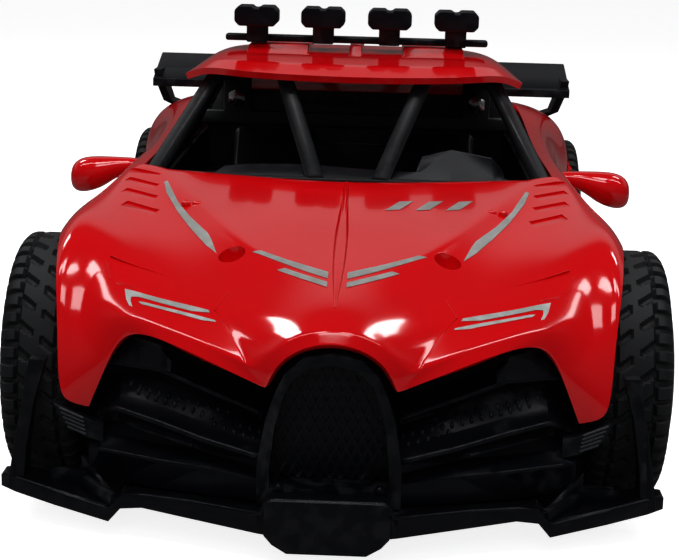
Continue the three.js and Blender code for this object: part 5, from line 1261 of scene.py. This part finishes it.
def mirror_pod(label, side):
    """A mirror's housing with its arm, from the door outwards."""
    points, faces = [], []
    for x, deep, top, bottom in MIRROR_SECTIONS:
        c = MIRROR_CORNER * min(top - bottom, deep * 2)
        ring = [(-deep, bottom + c), (-deep + c, bottom), (deep - c, bottom), (deep, bottom + c),
                (deep, top - c), (deep - c, top), (-deep + c, top), (-deep, top - c)]
        points += [(side * x, MIRROR_Y + y, z) for y, z in ring]
    count = len(ring)
    for s in range(len(MIRROR_SECTIONS) - 1):
        for i in range(count):
            a, b = s * count + i, s * count + (i + 1) % count
            faces.append((a, b, b + count, a + count))
    faces += [tuple(range(count)), tuple(range(len(points) - count, len(points)))]
    pod = from_points("mirror_pod_" + label, points, faces)
    rounding = pod.modifiers.new("rounding", "SUBSURF")
    rounding.levels = MIRROR_ROUNDING
    settle(pod)
    smooth(pod, 60)
    return finished(pod, "chassis", "red_gloss", red_gloss, "mirror_" + label)


for label, side in SIDES.items():
    mirror_pod(label, side)
    glass_points = [(side * x, MIRROR_Y + y, z)
                    for y in (GLASS_FACE, GLASS_BACK) for x, z in GLASS_OUTLINE]
    glass_faces = [tuple(range(6)), tuple(range(11, 5, -1))]
    glass_faces += [(i, (i + 1) % 6, (i + 1) % 6 + 6, i + 6) for i in range(6)]
    glass = from_points("mirror_glass_" + label, glass_points, glass_faces)
    finished(bevelled(glass, 0.15), "chassis", "steel", steel)
print("mirror sections", len(MIRROR_SECTIONS))

# %% [markdown]
# The cabin frame is a cage of round tubes: front, middle and rear pillars, two flattened bars in
# the windscreen, roof rails, and slats over the rear window. On the toy it is one moulding, so the
# tubes are not left to cross: a boolean unites them, and their joints become real corners.

# %% Cabin frame
RAIL_X, RAIL_Z, ROOF_X, ROOF_Z = 38.1, 48.8, 31.2, 62.2
TUBE_RADIUS, PILLAR_RADIUS, RAIL_RADIUS, BAR_RADIUS, BAR_FLAT = 1.5, 1.65, 1.4, 1.8, 0.72
TUBE_SIDES = 20
FRONT_CROSS = [(-30.6, -6.5, 62.9), (-27, -5.4, 64.7), (-20, -5, 65.2)]
frame_parts = []
for side in SIDES.values():
    rail, roof_x = side * RAIL_X, side * ROOF_X
    frame_parts += [
        tube("front_pillar", [(rail, -40.2, 48.4), (side * 30.1, -4, 63.6)],
             PILLAR_RADIUS, TUBE_SIDES),
        tube("middle_pillar", [(rail, 16, RAIL_Z), (roof_x, 12, ROOF_Z)], TUBE_RADIUS, TUBE_SIDES),
        tube("rear_pillar", [(rail, 56, RAIL_Z), (roof_x, 29.4, ROOF_Z)], TUBE_RADIUS, TUBE_SIDES),
        tube("roof_rail", [(side * 30.8, -6.8, ROOF_Z), (roof_x, 32, ROOF_Z)],
             RAIL_RADIUS, TUBE_SIDES),
        tube("windscreen_bar", [(side * 6.3, -40.2, 48.2), (side * 14.95, -4.9, 64.4)],
             BAR_RADIUS, TUBE_SIDES, BAR_FLAT),
        bevelled(bar("sill_rail", (rail - 0.85, -41.4, 47.4), (rail + 0.85, 58, 50.2)), 0.4),
        bevelled(bar("post", (side * 28.2 - 3.2, 30, 49.2), (side * 28.2 + 3.2, 36, 61)), 0.6),
    ]
frame_parts += [
    bevelled(bar("cowl_rail", (-38.5, -41.4, 47.4), (38.5, -38.8, 48.6)), 0.3),
    bevelled(bar("rear_rail", (-38.5, 55.4, 47.4), (38.5, 58, 48.8)), 0.3),
    tube("front_cross", FRONT_CROSS + [(-x, y, z) for x, y, z in reversed(FRONT_CROSS)],
         1.0, TUBE_SIDES),
    tube("rear_cross", [(-31.2, 31.3, ROOF_Z), (31.2, 31.3, ROOF_Z)], 1.3, TUBE_SIDES),
    bevelled(bar("bulkhead_bar", (-38.1, 30, 49.2), (38.1, 32.6, 52.4)), 0.5),
]
SLATS, SLAT_START, SLAT_RUN, SLAT_HALF, SLAT_THICK = 3, 32, 24, 3.5, 1.2
for i in range(SLATS):
    share = (i + 1) / (SLATS + 1)
    x, y = ROOF_X + (RAIL_X - ROOF_X) * share, SLAT_START + SLAT_RUN * share
    z = ROOF_Z + (RAIL_Z - ROOF_Z) * share
    frame_parts.append(
        bevelled(bar("slat", (-x, y - SLAT_HALF, z - SLAT_THICK), (x, y + SLAT_HALF, z)), 0.35))
cage = frame_parts[0]
cage.name = "cabin_cage"
combined(cage, frame_parts[1:], "UNION")
smooth(cage, 40)
finished(cage, "chassis", "grey_satin", grey_satin, "cabin_frame")
print("cabin cage faces", len(cage.data.polygons))

# %% [markdown]
# A dark screen closes the cabin behind the seats, with two thin cross bars at its middle. Above it
# hangs the folded rear edge of the red roof. Both are flat plates cut to an outline, with the small
# rounds of a mould.

# %% Screen behind the seats
SCREEN_FRONT, SCREEN_REAR = 33.0, 34.2
SCREEN_OUTLINE = [(-34.5, 37.4), (34.5, 37.4), (35.6, 50.4), (30.2, 61.6), (-30.2, 61.6),
                  (-35.6, 50.4)]
FLANGE_OUTLINE = [(-30.0, 57.4), (30.0, 57.4), (28.4, 65.6), (24, 67.0), (-24, 67.0),
                  (-28.4, 65.6)]
CROSS_BARS, CROSS_BAR_HALF, CROSS_BAR_RADIUS = (54.7, 45.0), 14, 0.5


def upright_plate(name, outline, front, rear, width):
    """A plate that stands across the car, from its outline seen from the front."""
    count = len(outline)
    points = [(x, y, z) for y in (front, rear) for x, z in outline]
    faces = [tuple(range(count)), tuple(range(count, 2 * count))]
    faces += [(i, (i + 1) % count, (i + 1) % count + count, i + count) for i in range(count)]
    return bevelled(from_points(name, points, faces), width)


screen = upright_plate("rear_screen", SCREEN_OUTLINE, SCREEN_FRONT, SCREEN_REAR, 0.3)
cross_bars = [
    tube("screen_bar", [(x, SCREEN_FRONT - 0.1, z) for x in (-CROSS_BAR_HALF, CROSS_BAR_HALF)],
         CROSS_BAR_RADIUS, 12)
    for z in CROSS_BARS
]
combined(screen, cross_bars, "UNION")
smooth(screen, 40)
finished(screen, "chassis", "grey_satin", grey_satin)
flange = upright_plate("roof_flange", FLANGE_OUTLINE, SCREEN_FRONT - 1.3, SCREEN_FRONT - 0.1, 0.3)
finished(flange, "chassis", "red_gloss", red_gloss)
print("screen", [round(length / MM, 1) for length in screen.dimensions])

# %% [markdown]
# Parts whose solid already has the right shape keep it. Drawing them again would only risk a
# mismatch with their neighbours. They get rounded edges, as a mould gives them, wide ones on the
# wing and the skirts and fine ones on the metal parts.

# %% Moulded parts from the frame's own solids
SATIN_NODES = {
    "rear_wing": 0.5, "chassis_pan": 0.35, "cabin_tray": 0.4,
    "rear_bumper": 0.4, "side_skirt_left": 0.6, "side_skirt_right": 0.6, "roof_bar": 0.5,
}
MOTOR_NODES = {"motor_case": 0.3, "motor_cover": 0.2}
POD_NODES, POD_ROUND, METAL_ROUND = ["lamp_pod_%d" % k for k in range(1, 5)], 0.8, 0.12
for node, width in SATIN_NODES.items():
    finished(moulded_copy(node, width), "chassis", "black_satin", black_satin, node)
for node, width in MOTOR_NODES.items():
    finished(moulded_copy(node, width), "chassis", "grey_satin", grey_satin, node)
for node in POD_NODES:
    finished(moulded_copy(node, POD_ROUND, 3), "chassis", "black_satin", black_satin, node)
METAL_NODES = ["idler_shaft", "drum_shaft"] + [
    "%s_screw_%s" % (place, side)
    for place in ("bonnet", "deck", "tray", "motor", "cabin") for side in SIDES
]
for node in METAL_NODES:
    finished(moulded_copy(node, METAL_ROUND, 2, 50), "chassis", "steel", steel, node)
moulded_sets = (SATIN_NODES, MOTOR_NODES, POD_NODES, METAL_NODES)
print("moulded copies", sum(len(nodes) for nodes in moulded_sets))

# %% [markdown]
# The dashboard is a padded shelf that swells up behind the windscreen, with a faceted hood over
# the instruments. Boxes would do for the shelf, but its crest shows over the bonnet, so the swell
# and the hood are lofted from sections that follow that line.

# %% Dashboard
DESK_LOW, DESK_HIGH = (-34, -39, 37.2), (34, -27.2, 47.2)
CREST = [(-34, 47.4), (-27.5, 47.7), (-26, 48.5), (-24.6, 49.5), (-20, 50.0), (-14, 50.2),
         (-8, 50.3), (0, 49.8), (8, 49.4), (20, 49.3), (31, 48.6), (34, 47.4)]
HOOD_SECTIONS = [
    [(12.8, -34.4, 47.5), (14.3, -33.4, 52.3), (14.8, -29.4, 51.6), (13.2, -28.4, 47.0)],
    [(20.3, -37.4, 47.5), (20.3, -34.6, 54.1), (20.3, -29.0, 53.2), (20.3, -28.0, 47.0)],
    [(28.7, -36.2, 47.5), (28.3, -34.0, 52.6), (27.8, -29.4, 51.9), (28.6, -28.4, 47.0)],
    [(31.4, -33.6, 47.5), (30.5, -32.4, 50.1), (30.0, -29.8, 49.8), (31.0, -29.0, 47.0)],
]


def lofted(name, sections):
    """Closed sections with the same number of points, joined in order and capped."""
    count = len(sections[0])
    total = len(sections) * count
    faces = [tuple(range(count)), tuple(range(total - count, total))]
    for s in range(len(sections) - 1):
        for k in range(count):
            a, b = s * count + k, s * count + (k + 1) % count
            faces.append((a, b, b + count, a + count))
    return from_points(name, [point for section in sections for point in section], faces)


swell_sections = [[(x, -38.6, 46.8), (x, -37.6, min(48.0, z)), (x, -34.4, z), (x, -31.5, z - 0.5),
                   (x, -28, 46.8)] for x, z in CREST]
dash = bevelled(bar("dash_moulding", DESK_LOW, DESK_HIGH), 0.6)
swell = smooth(lofted("dash_swell", swell_sections), 50)
hood = bevelled(lofted("dash_hood", HOOD_SECTIONS), 0.3, 3)
combined(dash, [swell, hood], "UNION")
smooth(dash, 40)
finished(dash, "chassis", "black_satin", black_satin, "dashboard")
print("dashboard faces", len(dash.data.polygons))

# %% [markdown]
# The black nose is the busiest moulding. Its ledges end in round beads, which catch a thin light
# along each edge, and a raised cap closes the inner end of each ledge. A bead follows the edge by
# the same shares as the solid, and a ridge is laid on the face by a ray from the front.

# %% Nose: beads and caps on the ledges
nose = moulded_copy("front_bumper", 0.3)
nose_surface = BVHTree.FromObject(nose, bpy.context.evaluated_depsgraph_get())
LEDGE_SHARES = [(0.226, -0.232, 0.441), (0.4, -0.211, 0.49), (0.56, -0.189, 0.536),
                (0.7, -0.162, 0.53), (0.795, -0.142, 0.521)]
LIP_SHARES = [(0.226, -0.2565, 0.318), (0.4, -0.239, 0.35), (0.56, -0.213, 0.38),
              (0.7, -0.189, 0.4), (0.78, -0.156, 0.35)]
FOOT_SHARES = [(0.42, -0.2335, 0.25), (0.56, -0.218, 0.255), (0.7, -0.196, 0.257),
               (0.76, -0.187, 0.257)]
BEAD_INSET, BEAD_STEPS, BEAD_SIDES = Vector((0, 0.32, -0.22)), 6, 12
EDGE_BEAD, LIP_BEAD, RIDGE_BEAD = 0.42, 0.5, 0.4


def bead(name, shares, side, radius):
    """A round bead along an edge of the nose, a little inside it."""
    path = [at_share(*share) + BEAD_INSET for share in shares]
    path = [Vector((side * point.x, point.y, point.z)) for point in path]
    fine = []
    for start, stop in zip(path, path[1:]):
        fine += [start.lerp(stop, k / BEAD_STEPS) for k in range(BEAD_STEPS)]
    return tube(name, fine + [path[-1]], radius, BEAD_SIDES)


beads = []
for side in SIDES.values():
    beads.append(bead("ledge_bead", LEDGE_SHARES, side, EDGE_BEAD))
    beads.append(bead("lip_bead", LIP_SHARES, side, LIP_BEAD))
    beads.append(bead("foot_bead", FOOT_SHARES, side, EDGE_BEAD))
RIDGE = [(36.0, 0, 17.5), (29, 0, 16.8), (22, 0, 15.9)]
for side_path in both_sides(RIDGE):
    ridge_path = laid_path(side_path, BACK, 2.5, nose_surface)
    beads.append(tube("ridge_bead", ridge_path, RIDGE_BEAD, 10))
LEDGE_CAP = [(26.2, -103.5, 26.9, 1.2), (28.4, -102.3, 26.85, 2.7), (31.5, -100.6, 26.75, 3.0),
             (35.0, -98.7, 26.6, 3.0), (37.0, -97.5, 26.4, 2.4)]
CAP_LEAN = 0.9


def cap_section(x, y, z, high):
    """A section of the cap: a leaning front, a narrow top and a foot sunk in the ledge."""
    back = y + high * CAP_LEAN
    return [(x, y, z), (x, back, z + high), (x, back + 0.8, z + high - 0.3),
            (x, y + 3.6, z - 1.0), (x, y + 0.8, z - 1.0)]


for side in SIDES.values():
    beads.append(lofted("ledge_cap", [cap_section(side * x, y, z, high)
                                      for x, y, z, high in LEDGE_CAP]))
combined(nose, beads, "UNION")
smooth(nose, 35)
finished(nose, "chassis", "black_satin", black_satin, "front_bumper")
print("nose faces", len(nose.data.polygons))

# %% [markdown]
# The nose carries rows of small drops, each wide at the foot and narrow at the top. A bump map
# could fake them, but they stand out against the light, so each is real: a low dome of a few
# rings, with its foot sunk below the surface so that no gap shows.

# %% Nose: one drop
DROP_WIDE, DROP_TALL, DROP_RELIEF, DROP_SINK, DROP_TAPER = 0.36, 0.72, 0.42, 0.1, 0.25


def dome_points(centre, normal, wide, tall, relief, sides=10, rings=3):
    """A drop: a low dome standing on the surface, with its foot sunk below it."""
    across = normal.cross(Vector((0, 0, 1))).normalized()
    upward = across.cross(normal).normalized()
    points = []
    for ring in range(rings):
        lift = math.pi / 2 * ring / rings
        reach, rise = math.cos(lift), math.sin(lift) * relief
        for k in range(sides):
            turn = 2 * math.pi * k / sides
            narrow = 1 - DROP_TAPER * math.sin(turn)
            points.append(centre + across * math.cos(turn) * wide * reach * narrow
                          + upward * math.sin(turn) * tall * reach + normal * rise)
    points = [point - normal * (relief + DROP_SINK) if i < sides else point
              for i, point in enumerate(points)]
    points.append(centre + normal * relief)
    faces = [tuple(range(sides))]
    for ring in range(rings - 1):
        for k in range(sides):
            a, b = ring * sides + k, ring * sides + (k + 1) % sides
            faces.append((a, b, b + sides, a + sides))
    top = (rings - 1) * sides
    faces += [(top + k, top + (k + 1) % sides, len(points) - 1) for k in range(sides)]
    return points, faces


print("a drop is", 2 * DROP_WIDE, "mm wide and", 2 * DROP_TALL, "mm tall")

# %% [markdown]
# Three staggered rows of drops follow the sweep of the lower face. Each drop is set where a ray
# from the front meets the nose, and places whose surface doesn't face the front are left free.

# %% Nose: rows of drops on the lower face
DROP_PITCH, FACING_FRONT = 1.62, -0.3
DROP_ROWS = [((33.3, 23.0), (16.7, 20.7)), ((31.9, 22.1), (11.4, 18.5)),
             ((18.7, 18.95), (12.3, 17.6))]
drops = []
for side in SIDES.values():
    for (first_x, first_z), (last_x, last_z) in DROP_ROWS:
        steps = round((first_x - last_x) / DROP_PITCH)
        for k in range(steps + 1):
            share = k / steps
            x = first_x + (last_x - first_x) * share
            z = first_z + (last_z - first_z) * share
            hit, normal = on_shell((side * x, 0, z), BACK, nose_surface)
            if hit is not None and normal.y < FACING_FRONT:
                drops.append(dome_points(hit, normal, DROP_WIDE, DROP_TALL, DROP_RELIEF))
finished(smooth(gathered("nose_drops", drops), 60), "chassis", "black_satin", black_satin)
print("drops", len(drops))

# %% [markdown]
# The arched grille is filled with a diamond mesh. Two sets of slanted bars cross each other before
# the back wall of the arch. They are made too large, united, and trimmed to the arch by one
# intersection, which is simpler than ending every bar at its own length.

# %% Nose: diamond mesh in the arch
ARCH_INNER = [(0, 0.626), (0.083, 0.61), (0.128, 0.562), (0.154, 0.5), (0.174, 0.42),
              (0.188, 0.28), (0.188, 0.22)]
MESH_Y, MESH_BAR, MESH_PITCH, MESH_RELIEF = -107.6, 0.34, 1.7, 0.32
MESH_LOW, MESH_HIGH, MESH_COUNT, MESH_LEAN, ARCH_EDGE = 10.5, 32.5, 14, 0.5, 0.2


def mesh_bars(name, lean):
    """Parallel slanted bars over the whole arch, standing a little in front of its back wall."""
    shapes = []
    half_run = lean * (MESH_HIGH - MESH_LOW) / 2
    for k in range(-MESH_COUNT, MESH_COUNT + 1):
        low_x, high_x = k * MESH_PITCH - half_run, k * MESH_PITCH + half_run
        points = []
        for y in (MESH_Y - MESH_RELIEF, MESH_Y + 0.1):
            points += [(low_x - MESH_BAR, y, MESH_LOW), (low_x + MESH_BAR, y, MESH_LOW),
                       (high_x + MESH_BAR, y, MESH_HIGH), (high_x - MESH_BAR, y, MESH_HIGH)]
        shapes.append((points, WEDGE_FACES))
    return gathered(name, shapes)


arch_half = [(a * HALF_WIDTH + ARCH_EDGE, u * HEIGHT + ARCH_EDGE) for a, u in ARCH_INNER]
arch_ring = arch_half[::-1] + [(-x, z) for x, z in arch_half[1:]]
arch_points = [(x, y, z) for y in (MESH_Y - 2, MESH_Y + 2) for x, z in arch_ring]
n = len(arch_ring)
arch_faces = [tuple(range(n)), tuple(range(n, 2 * n))]
arch_faces += [(i, (i + 1) % n, (i + 1) % n + n, i + n) for i in range(n)]
other_bars = mesh_bars("mesh_other", -MESH_LEAN)
arch_mesh = combined(mesh_bars("arch_mesh", MESH_LEAN), [other_bars], "UNION")
combined(arch_mesh, [from_points("arch_room", arch_points, arch_faces)], "INTERSECT")
finished(smooth(arch_mesh, 30), "chassis", "black_satin", black_satin)
print("mesh faces", len(arch_mesh.data.polygons))

# %% [markdown]
# The splitter is the flat blade under the nose. A round rim runs along its front edge, a rib
# stiffens each side, and two round pegs stand on the chin. A black web closes the gap behind each
# side: partly a wall of the moulding, partly painted shade, dark where the floor under the car would
# show.
# The blade keeps the solid's shape, and the thin trim is joined to it.

# %% Splitter: its raised front rim, ribs and pegs
splitter = moulded_copy("front_splitter", 0.35)
RIM_RADIUS, WEB_INNER, WEB_OUTER = 0.45, 33.2, 46.5
RIB_SECTIONS = ((34.5, -107.8, 4.6, 6.6), (37.9, -103.4, 4.4, 8.4), (41.2, -99.0, 4.4, 10.6))
RIB_FOOT, RIB_TOP = 0.5, 0.35
PEG_PLACE, PEG_FACING = (8.0, -112.6, 11.0), Vector((0, -0.8, 0.6))
PEG_RADIUS, PEG_RELIEF = 0.95, 0.9
RIM_POINTS = [(0, -117.45, 10.55), (8.6, -117.45, 10.55), (9.6, -117.0, 10.0), (10.2, -116.4, 8.2),
              (11.4, -115.5, 7.65), (22, -111.5, 7.65), (30, -109.1, 7.5), (33.4, -108.3, 7.1)]
BLADE_POINTS = [(36.0, -107.7, 4.85), (45, -104.5, 6.05), (51.6, -101.9, 7.0), (54.1, -100.3, 7.1)]
splitter_trim = []
for side in SIDES.values():
    for points in (RIM_POINTS, BLADE_POINTS):
        rim_path = [(side * x, y, z) for x, y, z in points]
        splitter_trim.append(tube("rim_bead", rim_path, RIM_RADIUS, 12))
    # The web is partly moulded wall and partly painted shade that hides the lit floor under the
    # nose.
    web_low, web_high = sorted((side * WEB_INNER, side * WEB_OUTER))
    splitter_trim.append(bar("web", (web_low, -100.4, 4.0), (web_high, -98.8, 8.2)))
    splitter_trim.append(lofted("splitter_rib", [
        [(side * (x - RIB_FOOT), y, low), (side * (x - RIB_TOP), y, high),
         (side * (x + RIB_TOP), y, high), (side * (x + RIB_FOOT), y, low)]
        for x, y, low, high in RIB_SECTIONS
    ]))
    peg_place = Vector((side * PEG_PLACE[0], *PEG_PLACE[1:]))
    peg_dome = dome_points(peg_place, PEG_FACING, PEG_RADIUS, PEG_RADIUS, PEG_RELIEF, 20, 5)
    splitter_trim.append(gathered("peg", [peg_dome]))
combined(splitter, splitter_trim, "UNION")
smooth(splitter, 35)
finished(splitter, "chassis", "black_satin", black_satin, "front_splitter")
print("splitter faces", len(splitter.data.polygons))

# %% [markdown]
# A small ribbed reflector sits at each corner of the nose. Five fine ribs of a paler plastic lie
# side by side, each a little shorter and lower than the last. They are one mesh, because they are
# one insert on the toy.

# %% Corner reflectors with fine ribs
RIB_COUNT, RIB_RADIUS, RIB_Y, RIB_DROP = 5, 0.24, -100.85, 0.8
corner_ribs = []
for side in SIDES.values():
    for k in range(RIB_COUNT):
        drop = k * RIB_DROP
        start = Vector((side * (44.9 - 0.35 * k), RIB_Y, 19.2 - drop))
        stop = Vector((side * (40.9 - 0.1 * k), RIB_Y, 17.5 - drop * 0.85))
        corner_ribs.append(tube_points([start, stop], RIB_RADIUS, 8))
finished(smooth(gathered("corner_ribs", corner_ribs), 40), "chassis", "grey_satin", corner_lens)
print("corner ribs", len(corner_ribs))

# %% [markdown]
# The tyre is a ring of small cells whose height follows the tread: shoulder blocks, a groove round
# each side and slanted cuts between them. Cutting each groove with a boolean would be slow, and a
# displacement map would need far more faces, so the height is worked out at each point.

# %% Tread of the tyres
TYRE_RADIUS = 21.5
TREAD_STEPS, SHOULDER_BLOCKS, SLANT_CUTS = 360, 45, 30
TYRE_PROFILE = [(15.3, -5.6), (16.2, -6.2), (17.6, -6.45), (18.9, -6.45), (19.9, -6.25)]
TREAD_HALF, TREAD_CELLS = 6.0, 26
CROWN_FROM, CROWN_DROP, CROWN_SPAN = 4.4, 1.1, 2.56
GROOVE_INNER, GROOVE_OUTER, GROOVE_DEPTH = 3.0, 3.6, 0.85
SHOULDER_GAP, SHOULDER_DEPTH, SLANT_GAP, SLANT_DEPTH = 0.26, 0.7, 0.3, 0.65
SLANT_SKEW, RIB_HALF = 0.16, 0.5
SHOULDER_EDGE = TYRE_PROFILE[-1][0]


def tread_height(across, turn):
    """How far the tread is cut down at a place across the tyre and round it."""
    if GROOVE_INNER <= abs(across) <= GROOVE_OUTER:
        return GROOVE_DEPTH
    if abs(across) > GROOVE_OUTER:
        phase = (turn * SHOULDER_BLOCKS / (2 * math.pi)) % 1
        return SHOULDER_DEPTH if phase < SHOULDER_GAP else 0.0
    phase = (turn * SLANT_CUTS / (2 * math.pi) + across * SLANT_SKEW) % 1
    return SLANT_DEPTH if phase < SLANT_GAP and abs(across) > RIB_HALF else 0.0


print("deepest groove", GROOVE_DEPTH, "mm")


# %% [markdown]
# With the height known at each point, the tyre is rings of points round the axle. The crown falls
# away to the shoulders, and the edge of each shoulder block is carried a little way down the side
# wall, as the mould leaves it.

# %% Tyre round the axle
def tyre(label, body, centre, side, node):
    """A tyre round the axle. Rows hold the radius, the place across and, on the tread, a mark."""
    tread = [(-TREAD_HALF + k * 2 * TREAD_HALF / TREAD_CELLS) for k in range(TREAD_CELLS + 1)]
    rows = [(r, a, None) for r, a in TYRE_PROFILE]
    rows += [(TYRE_RADIUS - CROWN_DROP * max(0, abs(a) - CROWN_FROM) ** 2 / CROWN_SPAN, a, a)
             for a in tread]
    rows += [(r, -a, None) for r, a in reversed(TYRE_PROFILE)]
    count = len(rows)
    points, faces = [], []
    for k in range(TREAD_STEPS):
        turn = 2 * math.pi * k / TREAD_STEPS
        for radius, across, mark in rows:
            deep = radius
            if mark is not None:
                deep -= tread_height(mark, turn)
            elif radius == SHOULDER_EDGE:
                deep -= tread_height(GROOVE_OUTER + 0.4, turn) * 0.5
            points.append((centre[0] + side * across, centre[1] + deep * math.cos(turn),
                           centre[2] + deep * math.sin(turn)))
    for k in range(TREAD_STEPS):
        nxt = (k + 1) % TREAD_STEPS
        for i in range(count):
            j = (i + 1) % count
            faces.append((k * count + i, k * count + j, nxt * count + j, nxt * count + i))
    piece = from_points(label, points, faces)
    smooth(piece, 35)
    return finished(piece, body, "rubber", rubber, node)


print("tread points in a ring", TREAD_STEPS, "lines across", TREAD_CELLS + 1)

# %% [markdown]
# The rim has ten forked spokes. A turned disc with holes would look heavy, so each spoke is two
# slim bars that lean apart towards the barrel, waisted in the middle.

# %% Spokes of the rims
SPOKES, SPOKE_LEAN, SPOKE_FOOT, SPOKE_REACH = 10, 0.09, 2.6, 6.0
SPOKE_SECTIONS = ((SPOKE_FOOT, 1.5, 3.0, 5.4), (8.0, 0.9, 2.2, 4.6), (13.9, 1.2, 2.4, 5.6))


def spoke_points(turn, side, centre):
    """One spoke, wide at the hub, waisted and forked towards the barrel."""
    shapes = []
    for lean in (-SPOKE_LEAN, SPOKE_LEAN):
        section = []
        for radius, width, depth, front in SPOKE_SECTIONS:
            angle = turn + lean * (radius - SPOKE_FOOT) / SPOKE_REACH
            along = Vector((0, math.cos(angle), math.sin(angle)))
            across = Vector((0, -math.sin(angle), math.cos(angle)))
            for w, f in ((-1, 0), (1, 0), (0.7, 1), (-0.7, 1)):
                place = along * radius + across * w * width / 2
                place.x = side * (front - depth + f * depth)
                section.append(place + Vector(centre))
        faces = [(3, 2, 1, 0), (8, 9, 10, 11)]
        for s in (0, 4):
            faces += [(s + i, s + (i + 1) % 4, s + 4 + (i + 1) % 4, s + 4 + i) for i in range(4)]
        shapes.append((section, faces))
    return shapes


print("bars in a spoke", len(spoke_points(0, 1, (0, 0, 0))))


# %% [markdown]
# The barrel and the hub are turned round the axle from a closed profile. Barrel, hub, spokes and
# nuts are united, so the rim is one body as it would come from the mould.

# %% Rim with barrel, hub and nuts
BARREL_PROFILE = [(13.6, -7.3), (15.0, -7.3), (15.0, -6.4), (14.4, -5.6), (14.2, 0), (14.4, 5.8),
                  (15.0, 6.5), (15.0, 7.3), (14.2, 7.35), (13.5, 6.4), (13.2, 3), (13.2, -5.8)]
HUB_PROFILE = [(0.02, -3), (3.6, -3), (3.6, 4.6), (3.1, 5.4), (1.6, 5.6), (1.4, 4.9), (0.02, 4.9)]
NUTS, NUT_CIRCLE, NUT_RADIUS, NUT_FRONT, NUT_BACK = 5, 2.5, 0.5, 5.75, 4.6


def rim(label, body, centre, side, node):
    """A whole rim. Its profiles are (radius, place along the axle), outwards from the car."""
    barrel = [(radius, side * along) for radius, along in BARREL_PROFILE]
    pieces = [from_points(label, *turned_x(barrel, 96, centre))]
    hub = [(radius, side * along) for radius, along in HUB_PROFILE]
    pieces.append(from_points("hub", *turned_x(hub, 40, centre)))
    for n in range(SPOKES):
        for shape in spoke_points(2 * math.pi * n / SPOKES, side, centre):
            pieces.append(bevelled(from_points("spoke", *shape), 0.2))
    for n in range(NUTS):
        angle = 2 * math.pi * (n + 0.5) / NUTS
        y = centre[1] + NUT_CIRCLE * math.cos(angle)
        z = centre[2] + NUT_CIRCLE * math.sin(angle)
        ends = [(centre[0] + side * along, y, z) for along in (NUT_BACK, NUT_FRONT)]
        pieces.append(tube("nut", ends, NUT_RADIUS, 6))
    combined(pieces[0], pieces[1:], "UNION")
    smooth(pieces[0], 35)
    return finished(pieces[0], body, "rim_grey", rim_paint, node)


print("spokes", SPOKES, "nuts", NUTS)

# %% [markdown]
# Tyre, rim and axle of one end turn together, so all of them ride on that end's body. The left and
# right wheels are drawn from the same profile with the sign of the side, not copied and flipped,
# so no mesh is turned inside out.

# %% Four wheels on two axles
AXLE_Z, HALF_TRACK = 21.5, 49.5
for end, axle_y in (("front", FRONT_AXLE), ("rear", REAR_AXLE)):
    for label, side in SIDES.items():
        centre = (side * HALF_TRACK, axle_y, AXLE_Z)
        place, body = (end, label), end + "_wheels"
        tyre("%s_tread_%s" % place, body, centre, side, "%s_tyre_%s" % place)
        rim("%s_wheel_%s" % place, body, centre, side, "%s_rim_%s" % place)
    axle = end + "_axle"
    finished(moulded_copy(axle, 0.2, 2, 50), end + "_wheels", "steel", steel, axle)
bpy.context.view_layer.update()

# %% [markdown]
# Inside the motor a pinion on the rear axle drives a double idler, and that drives the spring drum.
# The teeth come from the solids, whose outlines mesh, so the gears only get a hair of rounding. The
# mainspring lies wound in its drum and rides on it.

# %% Gears and mainspring
GEARS = {"axle_pinion": "rear_wheels", "idler_gear": "idler", "spring_drum": "drum"}
for node, body in GEARS.items():
    finished(moulded_copy(node, 0.06, 1, 40), body, "gear_white", acetal, node)
mainspring = moulded_copy("mainspring", 0.03, 1, 60)
finished(mainspring, "drum", "spring_steel", spring_strip, "mainspring")
print("gears", len(GEARS), "spring faces", len(mainspring.data.polygons))

# %% [markdown]
# The seats are plain moulded shells. A cushion could be sculpted, but on the toy they are hard
# plastic, and a wide soft round on every edge gives them that look. The steering wheel keeps its
# fine edges.

# %% Seats and steering wheel
for node, width, segments in (("seat_left", 1.6, 4), ("seat_right", 1.6, 4),
                              ("steering_wheel", 0.3, 2)):
    piece = moulded_copy(node, width, segments)
    finished(piece, "chassis", "black_satin", black_satin, node)
    print(node, "faces", len(piece.data.polygons))
